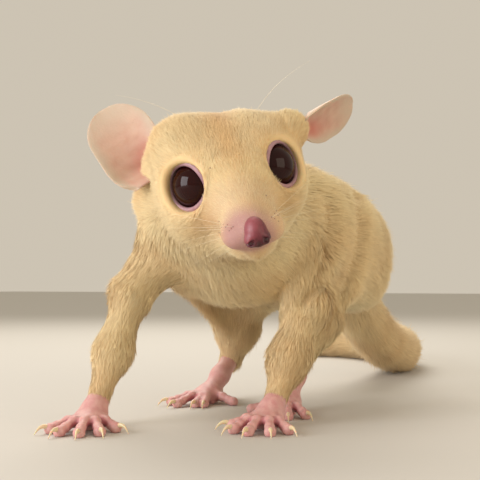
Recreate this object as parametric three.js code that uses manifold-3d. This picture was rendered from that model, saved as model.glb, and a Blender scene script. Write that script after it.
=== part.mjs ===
// Sugar glider standing still on the floor, life size, in millimetres with Z up.
// The body is measured in a frame that looks along +Y, then turned so that the nose points to -Y.

import * as THREE from "three";
import { mergeVertices } from "three/addons/utils/BufferGeometryUtils.js";
import Module from "manifold-3d";

const wasm = await Module();
wasm.setup();

// Sizes that drive the whole animal

const gap = 0.32; // clear space between neighbouring parts
const bodyTurn = 30; // degrees from the measured frame to the animal's own frame
const eyeRadius = 5.4;
const eyeSide = 11.9; // from the head's midline to the front of each eye
const eyeSpread = 47; // degrees that each eye looks outward
const eyeRise = 12; // degrees that each eye looks upward
const orbitRadius = 7.2; // raised rim of bone and skin round each eye
const lidAngle = 60; // half of the lid opening, seen from the centre of the eye
const lidThickness = 0.8;
const earLength = 19.5;
const earWidth = 7.6; // half of the ear's width
const earThickness = 0.9;
const lipRadius = 0.8;
const lowerLipRadius = 0.75;
const wristRadius = 2.6;
const digitRadius = 0.95;
const clawLength = 3.6;
const clawRadius = 0.55;

// Cell sizes of the surface meshes

const headCell = 2.9;
const jawCell = 2.2;
const trunkCell = 4.6;
const limbCell = 2.8;
const meshSlack = 0.15; // extra clearance where a fine mesh meets a coarse one

// Points and directions as plain lists of three numbers

const plus = (a, b) => [a[0] + b[0], a[1] + b[1], a[2] + b[2]];
const minus = (a, b) => [a[0] - b[0], a[1] - b[1], a[2] - b[2]];
const times = (a, s) => [a[0] * s, a[1] * s, a[2] * s];
const dot = (a, b) => a[0] * b[0] + a[1] * b[1] + a[2] * b[2];
const cross = (a, b) => [
  a[1] * b[2] - a[2] * b[1],
  a[2] * b[0] - a[0] * b[2],
  a[0] * b[1] - a[1] * b[0],
];
const size = (a) => Math.sqrt(dot(a, a));
const unit = (a) => times(a, 1 / size(a));
const mix = (a, b, t) => plus(times(a, 1 - t), times(b, t));
const level = (a, b, t) => a + (b - a) * t;
const radians = (degrees) => (degrees * Math.PI) / 180;
const clamp = (value, low, high) => Math.min(high, Math.max(low, value));

// Signed distance shapes, negative inside

function ellipsoid(centre, radii, axes) {
  return (p) => {
    const away = minus(p, centre);
    const local = axes.map((axis) => dot(away, axis));
    const near = Math.hypot(...local.map((value, axis) => value / radii[axis]));
    const slope = Math.hypot(...local.map((value, axis) => value / radii[axis] ** 2));
    return slope < 1e-9 ? -Math.min(...radii) : (near * (near - 1)) / slope;
  };
}

function ball(centre, radius) {
  return (p) => size(minus(p, centre)) - radius;
}

function cone(start, startRadius, end, endRadius) {
  const along = minus(end, start);
  const square = dot(along, along);
  return (p) => {
    const t = clamp(dot(minus(p, start), along) / square, 0, 1);
    return size(minus(p, mix(start, end, t))) - level(startRadius, endRadius, t);
  };
}

// A rounded triangular sheet, such as a hanging fold of skin
function sheet(a, b, c, thickness) {
  const ab = minus(b, a);
  const bc = minus(c, b);
  const ca = minus(a, c);
  const facing = unit(cross(ab, minus(c, a)));
  const sides = [[a, ab], [b, bc], [c, ca]];
  return (p) => {
    const inside = sides.every(([corner, side]) => dot(cross(side, minus(p, corner)), facing) >= 0);
    if (inside) {
      return Math.abs(dot(minus(p, a), facing)) - thickness;
    }
    const toSides = sides.map(([corner, side]) => {
      const t = clamp(dot(minus(p, corner), side) / dot(side, side), 0, 1);
      return size(minus(p, plus(corner, times(side, t))));
    });
    return Math.min(...toSides) - thickness;
  };
}

function blend(softness, ...shapes) {
  return (p) => {
    let nearest = shapes[0](p);
    for (const shape of shapes.slice(1)) {
      const other = shape(p);
      const overlap = Math.max(softness - Math.abs(nearest - other), 0) / softness;
      nearest = Math.min(nearest, other) - (overlap * overlap * softness) / 4;
    }
    return nearest;
  };
}

// Turning shapes into closed solids

function solidOf(points, faces) {
  const mesh = new wasm.Mesh({
    numProp: 3,
    vertProperties: new Float32Array(points.flat()),
    triVerts: new Uint32Array(faces.flat()),
  });
  mesh.merge();
  return new wasm.Manifold(mesh);
}

// Samples a shape on a grid and puts one surface point in every cell that the surface crosses
function surface(shape, low, high, cell, growth = 0) {
  const counts = [0, 1, 2].map((axis) => Math.ceil((high[axis] - low[axis]) / cell) + 1);
  const [wide, deep, tall] = counts;
  const place = (i, j, k) => (k * deep + j) * wide + i;
  const at = (i, j, k) => [low[0] + i * cell, low[1] + j * cell, low[2] + k * cell];
  const value = new Float64Array(wide * deep * tall);
  for (let k = 0; k < tall; k++) {
    for (let j = 0; j < deep; j++) {
      for (let i = 0; i < wide; i++) {
        const edge = i * j * k === 0 || i === wide - 1 || j === deep - 1 || k === tall - 1;
        const measured = shape(at(i, j, k)) - growth;
        value[place(i, j, k)] = edge ? Math.max(measured, 0.2 * cell) : measured || 1e-6;
      }
    }
  }
  const steps = [[1, 0, 0], [0, 1, 0], [0, 0, 1]];
  const points = [];
  const pointOf = new Map();
  for (let k = 0; k < tall - 1; k++) {
    for (let j = 0; j < deep - 1; j++) {
      for (let i = 0; i < wide - 1; i++) {
        let sum = [0, 0, 0];
        let crossings = 0;
        for (let axis = 0; axis < 3; axis++) {
          const step = steps[axis];
          const sideways = steps[(axis + 1) % 3];
          const upward = steps[(axis + 2) % 3];
          for (const [s, u] of [[0, 0], [1, 0], [0, 1], [1, 1]]) {
            const corner = [0, 1, 2].map((n) => [i, j, k][n] + s * sideways[n] + u * upward[n]);
            const next = plus(corner, step);
            const first = value[place(...corner)];
            const second = value[place(...next)];
            if (first < 0 !== second < 0) {
              sum = plus(sum, mix(at(...corner), at(...next), first / (first - second)));
              crossings += 1;
            }
          }
        }
        if (crossings > 0) {
          pointOf.set(place(i, j, k), points.length);
          points.push(times(sum, 1 / crossings));
        }
      }
    }
  }
  const faces = [];
  for (let k = 0; k < tall - 1; k++) {
    for (let j = 0; j < deep - 1; j++) {
      for (let i = 0; i < wide - 1; i++) {
        for (let axis = 0; axis < 3; axis++) {
          const here = value[place(i, j, k)];
          const next = value[place(...plus([i, j, k], steps[axis]))];
          if (here < 0 !== next < 0) {
            const s = steps[(axis + 1) % 3];
            const u = steps[(axis + 2) % 3];
            const around = [[0, 0], [1, 0], [1, 1], [0, 1]].map(([back, down]) =>
              pointOf.get(place(...[i, j, k].map((n, m) => n - back * s[m] - down * u[m])))
            );
            const corners = here < 0 ? around : around.slice().reverse();
            const across = (n) => size(minus(points[corners[n]], points[corners[n + 2]]));
            const turned = across(0) <= across(1) ? corners : [...corners.slice(1), corners[0]];
            const [a, b, c, d] = turned;
            faces.push([a, b, c], [a, c, d]);
          }
        }
      }
    }
  }
  return solidOf(points.map((p) => settled(shape, growth, p, cell)), faces);
}

// Slides a point straight onto the surface, unless the grid's own edge holds it
function settled(shape, growth, p, cell) {
  const tiny = 0.02;
  let point = p;
  for (let round = 0; round < 2; round++) {
    const here = shape(point) - growth;
    if (Math.abs(here) > 0.6 * cell) {
      return p;
    }
    const slope = [[tiny, 0, 0], [0, tiny, 0], [0, 0, tiny]].map(
      (step) => (shape(plus(point, step)) - growth - here) / tiny
    );
    point = minus(point, times(slope, here / Math.max(dot(slope, slope), 0.2)));
  }
  return point;
}

// A closed tube along a list of places, each with a radius or a pair of radii
function tube(places, sides, startUp = [0, 0, 1]) {
  const points = [];
  const faces = [];
  const last = places.length - 1;
  let reference = startUp;
  const towards = (n) => unit(minus(places[Math.min(n + 1, last)].at, places[Math.max(n - 1, 0)].at));
  places.forEach(({ at, radius, flat = 1 }, n) => {
    const along = towards(n);
    const side = unit(cross(along, reference));
    const up = cross(side, along);
    reference = up;
    for (let turn = 0; turn < sides; turn++) {
      const angle = (turn / sides) * 2 * Math.PI;
      const sideways = times(side, radius * Math.cos(angle));
      points.push(plus(at, plus(sideways, times(up, radius * flat * Math.sin(angle)))));
    }
  });
  for (let n = 0; n < last; n++) {
    for (let turn = 0; turn < sides; turn++) {
      const a = n * sides + turn;
      const b = n * sides + ((turn + 1) % sides);
      faces.push([a, a + sides, b + sides], [a, b + sides, b]);
    }
  }
  const ends = [[0, -1], [last, 1]];
  ends.forEach(([n, way]) => {
    const pole = points.length;
    const lift = places[n].radius * Math.min(places[n].flat ?? 1, 1) * (places[n].bluntness ?? 0.5);
    points.push(plus(places[n].at, times(towards(n), way * lift)));
    for (let turn = 0; turn < sides; turn++) {
      const a = n * sides + turn;
      const b = n * sides + ((turn + 1) % sides);
      faces.push(way < 0 ? [pole, a, b] : [pole, b, a]);
    }
  });
  return solidOf(points, faces);
}

// A closed ring, such as the rim of the lids
function ring(places, radius, sides, centre) {
  const points = [];
  const faces = [];
  const count = places.length;
  places.forEach((at, n) => {
    const along = unit(minus(places[(n + 1) % count], places[(n + count - 1) % count]));
    const outward = unit(minus(at, centre));
    const side = unit(cross(along, outward));
    const up = cross(side, along);
    for (let turn = 0; turn < sides; turn++) {
      const angle = (turn / sides) * 2 * Math.PI;
      const sideways = times(side, radius * Math.cos(angle));
      points.push(plus(at, plus(sideways, times(up, radius * Math.sin(angle)))));
    }
  });
  for (let n = 0; n < count; n++) {
    for (let turn = 0; turn < sides; turn++) {
      const next = ((n + 1) % count) * sides;
      const a = n * sides + turn;
      const b = n * sides + ((turn + 1) % sides);
      const c = next + ((turn + 1) % sides);
      const d = next + turn;
      faces.push([a, d, c], [a, c, b]);
    }
  }
  return solidOf(points, faces);
}

function roundBody(centre, radii, axes, around, down) {
  const sphere = new THREE.SphereGeometry(1, around, down);
  sphere.deleteAttribute("normal");
  sphere.deleteAttribute("uv");
  const merged = mergeVertices(sphere, 1e-5);
  const points = [];
  const position = merged.getAttribute("position");
  for (let n = 0; n < position.count; n++) {
    const away = [position.getX(n), position.getY(n), position.getZ(n)].map((value, axis) =>
      times(axes[axis], value * radii[axis])
    );
    points.push(plus(plus(centre, away[0]), plus(away[1], away[2])));
  }
  const faces = [];
  const order = merged.getIndex().array;
  for (let n = 0; n < order.length; n += 3) {
    faces.push([order[n], order[n + 1], order[n + 2]]);
  }
  return solidOf(points, faces);
}

const ballAt = (centre, radius) => roundBody(centre, [radius, radius, radius], headAxes, 14, 9);

function largest(solid) {
  return solid.decompose().sort((a, b) => b.volume() - a.volume())[0];
}

// The head's own frame: origin between the eyes, then forward, left and up

const between = [-17.1, -42, 55.4];
const forward = unit([0.148, -0.925, -0.338]);
const roughLeft = [0.958, 0.139, 0.269];
const leftward = unit(minus(roughLeft, times(forward, dot(forward, roughLeft))));
const upward = cross(forward, leftward);
const headAxes = [forward, leftward, upward];
const headWay = (u, v, w) => plus(times(forward, u), plus(times(leftward, v), times(upward, w)));
const onHead = (u, v, w) => plus(between, headWay(u, v, w));

// Eyes and lids

function eyeFrame(side) {
  const flat = Math.cos(radians(eyeRise));
  const out = headWay(
    flat * Math.cos(radians(eyeSpread)),
    side * flat * Math.sin(radians(eyeSpread)),
    Math.sin(radians(eyeRise))
  );
  const centre = minus(onHead(0, side * eyeSide, 0), times(out, eyeRadius - 0.4));
  const inner = unit(cross(cross(out, headWay(1, -side, -0.2)), out));
  return { out, centre, inner, top: unit(cross(out, inner)) };
}

function lidPath({ out, centre, inner, top }) {
  const reach = eyeRadius + gap + lidThickness * 0.9;
  const path = [];
  const steps = 18;
  for (let n = 0; n < steps; n++) {
    const angle = (n / steps) * 2 * Math.PI;
    const corner = Math.max(Math.cos(angle), 0) ** 6;
    const opening = radians(lidAngle + 9 * corner - 3 * Math.abs(Math.sin(angle)));
    const sideways = plus(times(inner, Math.cos(angle)), times(top, Math.sin(angle)));
    const rim = plus(times(out, Math.cos(opening)), times(sideways, Math.sin(opening)));
    path.push(plus(centre, times(rim, reach)));
  }
  return path;
}

const eyes = { left: eyeFrame(1), right: eyeFrame(-1) };

// The trunk's frame: forward, left and up

const ahead = unit([-0.62, -0.78, 0.05]);
const aside = unit(cross([0, 0, 1], ahead));
const trunkAxes = [ahead, aside, cross(ahead, aside)];

// Head, neck and trunk as one smooth shape

const skull = blend(
  5,
  ellipsoid(onHead(-12, -0.5, -1.2), [16.5, 15.2, 12.3], headAxes),
  ellipsoid(onHead(-7, 8.5, -6), [11, 7.5, 8.5], headAxes),
  ellipsoid(onHead(-7, -8.5, -6), [11, 7.5, 8.5], headAxes),
  cone(onHead(2, 0, -4.2), 8.6, onHead(15.5, 0, -8.2), 3.9)
);
const pads = blend(
  2,
  ellipsoid(onHead(12.6, 3.5, -9), [5, 3.3, 3.1], headAxes),
  ellipsoid(onHead(12.6, -3.5, -9), [5, 3.3, 3.1], headAxes)
);
const neckShape = blend(
  6,
  cone([-20, -27, 50], 14.5, [-17, -16, 44], 15.5),
  ellipsoid([-30, -22, 46], [9, 9, 9], trunkAxes)
);
const trunkShape = blend(
  8,
  ellipsoid([-17, -15, 41.5], [15, 15.5, 13.5], trunkAxes),
  ellipsoid([-3, 1, 44.5], [22, 16.8, 19], trunkAxes),
  ellipsoid([7, 14.5, 44], [15, 14.6, 16.6], trunkAxes),
  ellipsoid([12.8, 27, 41.5], [15.5, 14.6, 16.6], trunkAxes)
);
const orbits = [eyes.left, eyes.right].map(({ centre }) => ball(centre, orbitRadius));
const earRoots = { left: [-2.6, -32, 66.8], right: [-37.2, -31, 56.5] };
const earBases = blend(
  4,
  cone(onHead(-12, 9, 2), 8.4, [-4, -32, 65.4], 5),
  cone(onHead(-12, -9, 3.4), 8.8, earRoots.right, 5.6)
);
const face = blend(3, blend(5, skull, earBases), pads, ...orbits);
const core = blend(5, face, neckShape, trunkShape);

const headLow = [-54, -66, 26];
const headHigh = [16, -6, 84];
const trunkLow = [-48, -48, 16];
const trunkHigh = [42, 56, 80];
const headBody = surface(core, headLow, headHigh, headCell);
const trunkBody = surface(core, trunkLow, trunkHigh, trunkCell);
const coreGrown = surface(core, trunkLow, trunkHigh, trunkCell, gap + meshSlack);
const headGrown = surface(core, headLow, headHigh, headCell, gap);

// Where the neck and the trunk are parted

const neckWay = unit([0.28, 0.68, -0.68]);
const neckTop = dot([-19, -28, 47.5], neckWay);
const neckFoot = dot([-17, -19, 40], neckWay);
const backWay = unit([0.62, 0.78, -0.1]);
const waist = dot([6, 12, 42], backWay);
const half = gap / 2;
const after = (solid, way, offset) => solid.trimByPlane(way, offset + half);
const before = (solid, way, offset) => solid.trimByPlane(times(way, -1), half - offset);

// Ears: curved sheets that open forward, deep at the root and flatter towards the tip

function earSheet(root, tipWay, openWay, lean) {
  const along = unit(tipWay);
  const open = unit(minus(openWay, times(along, dot(openWay, along))));
  const side = cross(along, open);
  const widths = [0.42, 0.6, 0.8, 0.94, 1, 1, 0.95, 0.8, 0.5];
  const rows = widths.length;
  const columns = 9;
  const inside = [];
  const outside = [];
  for (let row = 0; row < rows; row++) {
    const t = row / (rows - 1);
    const bend = level(1.45, 0.3, Math.sqrt(t));
    const round = (widths[row] * earWidth) / Math.sin(bend);
    for (let column = 0; column < columns; column++) {
      const s = (column / (columns - 1)) * 2 - 1;
      const drop = row === rows - 1 ? 0.7 * s * s : 0;
      const across = times(side, round * Math.sin(s * bend));
      const depth = times(open, round * (1 - Math.cos(s * bend)) - lean * t * t);
      const middle = plus(plus(root, times(along, earLength * t - drop)), plus(across, depth));
      const facing = minus(times(open, Math.cos(s * bend)), times(side, Math.sin(s * bend)));
      inside.push(plus(middle, times(facing, earThickness / 2)));
      outside.push(plus(middle, times(facing, -earThickness / 2)));
    }
  }
  const total = rows * columns;
  const faces = [];
  for (let row = 0; row < rows - 1; row++) {
    for (let column = 0; column < columns - 1; column++) {
      const a = row * columns + column;
      const b = a + 1;
      const c = a + columns + 1;
      const d = a + columns;
      faces.push([a, b, c], [a, c, d]);
      faces.push([a + total, c + total, b + total], [a + total, d + total, c + total]);
    }
  }
  const edge = [];
  for (let column = 0; column < columns - 1; column++) {
    edge.push([column, column + 1]);
    edge.push([total - 1 - column, total - 2 - column]);
  }
  for (let row = 0; row < rows - 1; row++) {
    edge.push([(row + 1) * columns, row * columns]);
    edge.push([row * columns + columns - 1, (row + 1) * columns + columns - 1]);
  }
  for (const [a, b] of edge) {
    faces.push([a, b + total, b], [a, a + total, b + total]);
  }
  return solidOf([...inside, ...outside], faces);
}

// Limbs: each a chain of rounded lengths, given as places with radii

const limbs = {
  upper_arm_left: [[[-3, -13, 40], 8.5], [[0, -19, 28], 6.4]],
  forearm_left: [[[0, -20.5, 27], 5.8], [[-4.5, -26.5, 15], 4.5], [[-8, -31, 5.5], 2.8]],
  upper_arm_right: [[[-33, -19, 40], 9], [[-40.8, -23.5, 31], 5]],
  forearm_right: [[[-41.3, -24.5, 29.5], 4.7], [[-45, -28.5, 16.5], 3.9], [[-48, -32, 5.5], 2.7]],
  thigh_left: [[[16, 22, 33.5], 10], [[8, 7, 34.5], 9.4]],
  shin_left: [[[7.5, 5, 34], 7.4], [[4.5, 0, 23], 5.9], [[1, -2.5, 15.5], 4.3]],
  thigh_right: [[[4, 32, 33.5], 10], [[-11.5, 11, 33], 8.8]],
  shin_right: [[[-12.5, 9, 32], 6.6], [[-16, 16, 20], 5.2], [[-18.5, 19, 11], 3.7]],
};
function limbShape(chain) {
  return blend(3, ...chain.slice(1).map(([end, radius], n) => cone(...chain[n], end, radius)));
}
function limbBox(chain) {
  const low = [0, 1, 2].map((axis) => Math.min(...chain.map(([at, radius]) => at[axis] - radius)) - 3);
  const high = [0, 1, 2].map((axis) => Math.max(...chain.map(([at, radius]) => at[axis] + radius)) + 3);
  return [low, high];
}
const limbSolid = (name, growth = 0) =>
  surface(limbShape(limbs[name]), ...limbBox(limbs[name]), limbCell, growth);
const midline = dot([12.8, 27, 41.5], aside);
const hindHalf = (solid, outer) => (outer > 0 ? after(solid, aside, midline) : before(solid, aside, midline));

// Folds of gliding skin that hang from the flanks between arm and hind foot

const folds = {
  membrane_left: sheet([1, -15, 36], [14, 15, 48], [-1, -8, 18.5], 3.4),
  membrane_right: sheet([-34, -12, 33], [-20, 16, 42], [-20, 14, 20], 3),
};
const foldBoxes = {
  membrane_left: [[-8, -23, 11], [22, 23, 56]],
  membrane_right: [[-42, -20, 12], [-12, 24, 50]],
};

// Hands and feet: a palm with digits that reach the floor, each digit ending in a claw

const handSize = [4.2, 3.9, 2.3];
const footSize = [4.6, 3.6, 2.6];
const paws = {
  hand_left: { wrist: [-8, -31, 5.5], palm: [-10, -35.2, 2.15], way: [-0.3, -0.95, 0], palmSize: handSize },
  hand_right: { wrist: [-48, -32, 5.5], palm: [-49, -36.2, 2.15], way: [-0.1, -0.99, 0], palmSize: handSize },
  foot_left: { wrist: [0.5, -3, 15], palm: [-4.5, -12, 2.45], way: [-0.25, -0.97, 0], palmSize: footSize },
  foot_right: { wrist: [-18.5, 19, 11], palm: [-24.5, 7.5, 2.4], way: [-0.45, -0.89, 0], palmSize: footSize },
};

// Each digit is its angle from the paw's line, its reach and the height of its knuckle
const fingers = [[-58, 6, 2.2], [-26, 8.6, 2.4], [-4, 9.6, 2.5], [19, 9.2, 2.4], [43, 7.8, 2.2]];
const toes = [[-78, 6.6, 2], [-22, 7.6, 2.2], [-9, 7.8, 2.2], [13, 10, 2.5], [36, 8.8, 2.3]];

// One digit from the palm over its knuckle to the pad, where a negative angle is the inner side
function digit(paw, side, [angle, reach, knuckle]) {
  const straight = unit(paw.way);
  const outer = times(cross([0, 0, 1], straight), side);
  const turn = radians(angle);
  const way = plus(times(straight, Math.cos(turn)), times(outer, Math.sin(turn)));
  const root = plus(paw.palm, times(way, 2));
  const along = (share, height) => [...plus(root, times(way, reach * share)).slice(0, 2), height];
  const pad = along(1, 0.72);
  const places = [
    { at: root, radius: digitRadius * 1.42 },
    { at: along(0.45, knuckle), radius: digitRadius },
    { at: along(0.78, knuckle * 0.62), radius: digitRadius * 0.92 },
    { at: pad, radius: digitRadius * 1.12 },
  ];
  return { solid: tube(places, 5), pad, way };
}

function claw({ pad, way }) {
  const start = plus([pad[0], pad[1], 1.3], times(way, digitRadius * 0.7 + gap + 0.35));
  const reach = (far, high) => [start[0] + way[0] * far, start[1] + way[1] * far, high];
  const places = [
    { at: start, radius: clawRadius, bluntness: 0 },
    { at: reach(clawLength * 0.4, 1.4), radius: clawRadius * 0.85 },
    { at: reach(clawLength * 0.85, 0.75), radius: clawRadius * 0.42, bluntness: 2.4 },
  ];
  return tube(places, 6);
}

const floorCut = (solid) => solid.trimByPlane([0, 0, 1], 0);

// The tail: thick with fur, laid on the floor and curled round behind the animal

const tailPath = new THREE.CatmullRomCurve3(
  [
    [17, 37, 37],
    [20.5, 52, 26],
    [31, 71, 13.5],
    [41, 95, 7.8],
    [45.5, 120, 7.6],
    [42, 144, 7.4],
    [31, 161, 7],
    [17, 167, 6.4],
    [1.5, 158, 5],
  ].map((at) => new THREE.Vector3(...at))
);
const tailRadii = [9, 8.6, 8.4, 8.5, 8.6, 8.4, 8.2, 7.8, 4.8];
const tailCuts = [0, 0.2, 0.42, 0.64, 0.84, 1];

function tailSolid() {
  const steps = 22;
  const places = [];
  for (let n = 0; n <= steps; n++) {
    const t = n / steps;
    const spot = t * (tailRadii.length - 1);
    const lower = Math.min(Math.floor(spot), tailRadii.length - 2);
    const radius = level(tailRadii[lower], tailRadii[lower + 1], spot - lower);
    places.push({ at: tailPath.getPoint(t).toArray(), radius, bluntness: 0.9 });
  }
  return floorCut(tube(places, 12));
}

// Colours and finishes seen in the photograph

const finishes = {
  fur: { color: 0xe2cb93, roughness: 0.95 },
  furShade: { color: 0xccae78, roughness: 0.95 },
  ear: { color: 0xd9a182, roughness: 0.7 },
  bareSkin: { color: 0xd59c96, roughness: 0.55 },
  lid: { color: 0xc3a0a4, roughness: 0.55 },
  nose: { color: 0x8e3a42, roughness: 0.35 },
  eye: { color: 0x2c0a0a, roughness: 0.06 },
  claw: { color: 0xe3cda5, roughness: 0.4 },
};

const parts = [];
function keep(name, solid, finish) {
  parts.push({ name, solid: largest(solid), finish });
}

// Head, with sockets for the eyes, rims for the lids, lips, and a seat for the nose

const lipPoints = [[4, 4.6, -9.2], [8, 4.8, -10.4], [12.3, 4.7, -11.3], [15.6, 2.6, -11.5], [16.7, 0, -11.2]];
function lipTube(drop, pull, radius) {
  const oneSide = lipPoints.map(([u, v, w]) => [u - pull, v - pull * 0.4, w - drop]);
  const otherSide = oneSide.slice(0, -1).reverse().map(([u, v, w]) => [u, -v, w]);
  const path = [...oneSide, ...otherSide].map((place) => onHead(...place));
  const last = path.length - 1;
  const places = path.map((at, n) => ({ at, radius: n % last === 0 ? radius * 0.5 : radius }));
  return tube(places, 6, upward);
}
const lowerLip = (growth) => lipTube(1.2, 1.5, lowerLipRadius + growth);
const jawShape = blend(
  3,
  cone(onHead(-3, 0, -12), 6.6, onHead(12.2, 0, -13), 2.7),
  cone(onHead(-4, 5, -11.5), 5, onHead(8, 2, -12.8), 3)
);
const jawField = blend(2, jawShape, cone(onHead(-4, -5, -11.5), 5, onHead(8, -2, -12.8), 3));
const jawBox = [[-34, -62, 30], [2, -24, 58]];

const noseCentre = onHead(17.9, 0, -7.8);
const noseUp = unit(headWay(-0.4, 0, 0.92));
const noseAxes = [cross(leftward, noseUp), leftward, noseUp];
const noseSize = [2.6, 2.35, 3.2];
const noseBody = roundBody(noseCentre, noseSize, noseAxes, 12, 9);
const noseGrown = roundBody(noseCentre, noseSize.map((n) => n + gap), noseAxes, 12, 8);
const nostril = (side) =>
  tube(
    [
      { at: onHead(18.3, side * 2.7, -9.6), radius: 0.3 },
      { at: onHead(19.4, side * 1.95, -9.4), radius: 0.4 },
      { at: onHead(20.5, side * 1.35, -9), radius: 0.45 },
    ],
    6
  );
const noseGroove = tube(
  [
    { at: onHead(20.8, 0, -7.8), radius: 0.2 },
    { at: onHead(20.5, 0, -9.4), radius: 0.26 },
    { at: onHead(19.2, 0, -10.9), radius: 0.26 },
  ],
  5,
  leftward
);

const jawPlain = surface(jawField, ...jawBox, jawCell);
const jawGrown = surface(jawField, ...jawBox, jawCell, gap).add(lowerLip(gap));
let head = before(headBody, neckWay, neckTop);
head = head.add(lipTube(0, 0, lipRadius)).subtract(jawGrown).subtract(noseGrown);
for (const side of ["left", "right"]) {
  const eye = eyes[side];
  const socket = tube(
    [
      { at: plus(eye.centre, times(eye.out, 3.1)), radius: 5.3 },
      { at: plus(eye.centre, times(eye.out, 9)), radius: 7.4 },
    ],
    18
  );
  head = head.subtract(socket);
}
for (const side of ["left", "right"]) {
  const eye = eyes[side];
  const lidSeat = ring(lidPath(eye), lidThickness + gap, 6, eye.centre);
  head = head.subtract(ballAt(eye.centre, eyeRadius + gap)).subtract(lidSeat);
}
keep("head", head, "fur");
keep("jaw", before(jawPlain.add(lowerLip(0)), neckWay, neckTop), "fur");
keep("nose", noseBody.subtract(nostril(1)).subtract(nostril(-1)).subtract(noseGroove), "nose");
for (const side of ["left", "right"]) {
  const eye = eyes[side];
  keep(`eye_${side}`, ballAt(eye.centre, eyeRadius), "eye");
  keep(`eyelids_${side}`, ring(lidPath(eye), lidThickness, 6, eye.centre), "lid");
}
const earLeft = earSheet(earRoots.left, [13.1, 12.7, 6.8], [0.656, -0.31, -0.685], 1);
const earRight = earSheet(earRoots.right, [-9.5, 2, 17.5], [0.15, -1, 0], 1);
keep("ear_left", earLeft.subtract(headGrown), "ear");
keep("ear_right", earRight.subtract(headGrown), "ear");

// Neck and trunk

keep("neck", before(after(trunkBody, neckWay, neckTop), neckWay, neckFoot), "fur");
const trunk = after(trunkBody, neckWay, neckFoot);
keep("torso_front", before(trunk, backWay, waist), "fur");
keep("torso_rear", after(trunk, backWay, waist), "fur");

// Limbs, each parted from the piece before it

const grownNames = ["upper_arm", "forearm", "thigh", "shin"];
const grown = {};
for (const side of ["left", "right"]) {
  for (const name of grownNames) {
    grown[`${name}_${side}`] = limbSolid(`${name}_${side}`, gap + meshSlack);
  }
}
for (const side of ["left", "right"]) {
  const hand = `hand_${side}`;
  const foot = `foot_${side}`;
  const outer = side === "left" ? 1 : -1;
  keep(`upper_arm_${side}`, limbSolid(`upper_arm_${side}`).subtract(coreGrown), "fur");
  const forearm = limbSolid(`forearm_${side}`).subtract(coreGrown);
  keep(`forearm_${side}`, forearm.subtract(grown[`upper_arm_${side}`]), "fur");
  keep(`thigh_${side}`, hindHalf(limbSolid(`thigh_${side}`), outer).subtract(coreGrown), "furShade");
  const shin = hindHalf(limbSolid(`shin_${side}`), outer).subtract(coreGrown);
  keep(`shin_${side}`, shin.subtract(grown[`thigh_${side}`]), "furShade");
  const fold = `membrane_${side}`;
  keep(
    fold,
    surface(folds[fold], ...foldBoxes[fold], limbCell)
      .subtract(coreGrown)
      .subtract(grown[`upper_arm_${side}`])
      .subtract(grown[`forearm_${side}`])
      .subtract(grown[`thigh_${side}`])
      .subtract(grown[`shin_${side}`]),
    "furShade"
  );
  for (const [name, digits, shank] of [[hand, fingers, `forearm_${side}`], [foot, toes, `shin_${side}`]]) {
    const paw = paws[name];
    const straight = unit(paw.way);
    const palmAxes = [straight, times(cross([0, 0, 1], straight), outer), [0, 0, outer]];
    let solid = roundBody(paw.palm, paw.palmSize, palmAxes, 10, 7);
    const wristPlaces = [0, 0.5, 1].map((share) => ({
      at: mix(paw.wrist, paw.palm, share),
      radius: wristRadius - 0.3 * share,
    }));
    solid = solid.add(tube(wristPlaces, 10, straight));
    const made = digits.map((setting) => digit(paw, outer, setting));
    for (const one of made) {
      solid = solid.add(one.solid);
    }
    solid = floorCut(solid.subtract(grown[shank]).subtract(coreGrown));
    keep(name, solid, "bareSkin");
    made.forEach((one, n) => {
      if (name === hand || n > 0) {
        keep(`claw_${name}_${n + 1}`, claw(one), "claw");
      }
    });
  }
}

// Tail in lengths

const tail = tailSolid().subtract(coreGrown).subtract(grown.thigh_left).subtract(grown.thigh_right);
tailCuts.slice(1).forEach((end, n) => {
  let length = tail;
  if (n > 0) {
    const spot = tailPath.getPoint(tailCuts[n]).toArray();
    const way = tailPath.getTangent(tailCuts[n]).toArray();
    length = after(length, way, dot(spot, way));
  }
  if (end < 1) {
    const spot = tailPath.getPoint(end).toArray();
    const way = tailPath.getTangent(end).toArray();
    length = before(length, way, dot(spot, way));
  }
  keep(`tail_${n + 1}`, length, "fur");
});

// Turned to the animal's own frame, with the origin on the floor under the middle of the whole

const whole = new THREE.Group();
whole.name = "sugar_glider";
const turned = new THREE.Matrix4().makeRotationZ(radians(bodyTurn));
for (const { name, solid, finish } of parts) {
  const mesh = solid.getMesh();
  const geometry = new THREE.BufferGeometry();
  geometry.setAttribute("position", new THREE.BufferAttribute(new Float32Array(mesh.vertProperties), 3));
  geometry.setIndex(new THREE.BufferAttribute(new Uint32Array(mesh.triVerts), 1));
  geometry.applyMatrix4(turned);
  geometry.computeVertexNormals();
  const material = new THREE.MeshStandardMaterial({ metalness: 0, ...finishes[finish] });
  const body = new THREE.Mesh(geometry, material);
  body.name = name;
  whole.add(body);
}
const bounds = new THREE.Box3().setFromObject(whole);
const boundsMiddle = bounds.getCenter(new THREE.Vector3());
for (const body of whole.children) {
  body.geometry.translate(-boundsMiddle.x, -boundsMiddle.y, 0);
}

export default whole;
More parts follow.
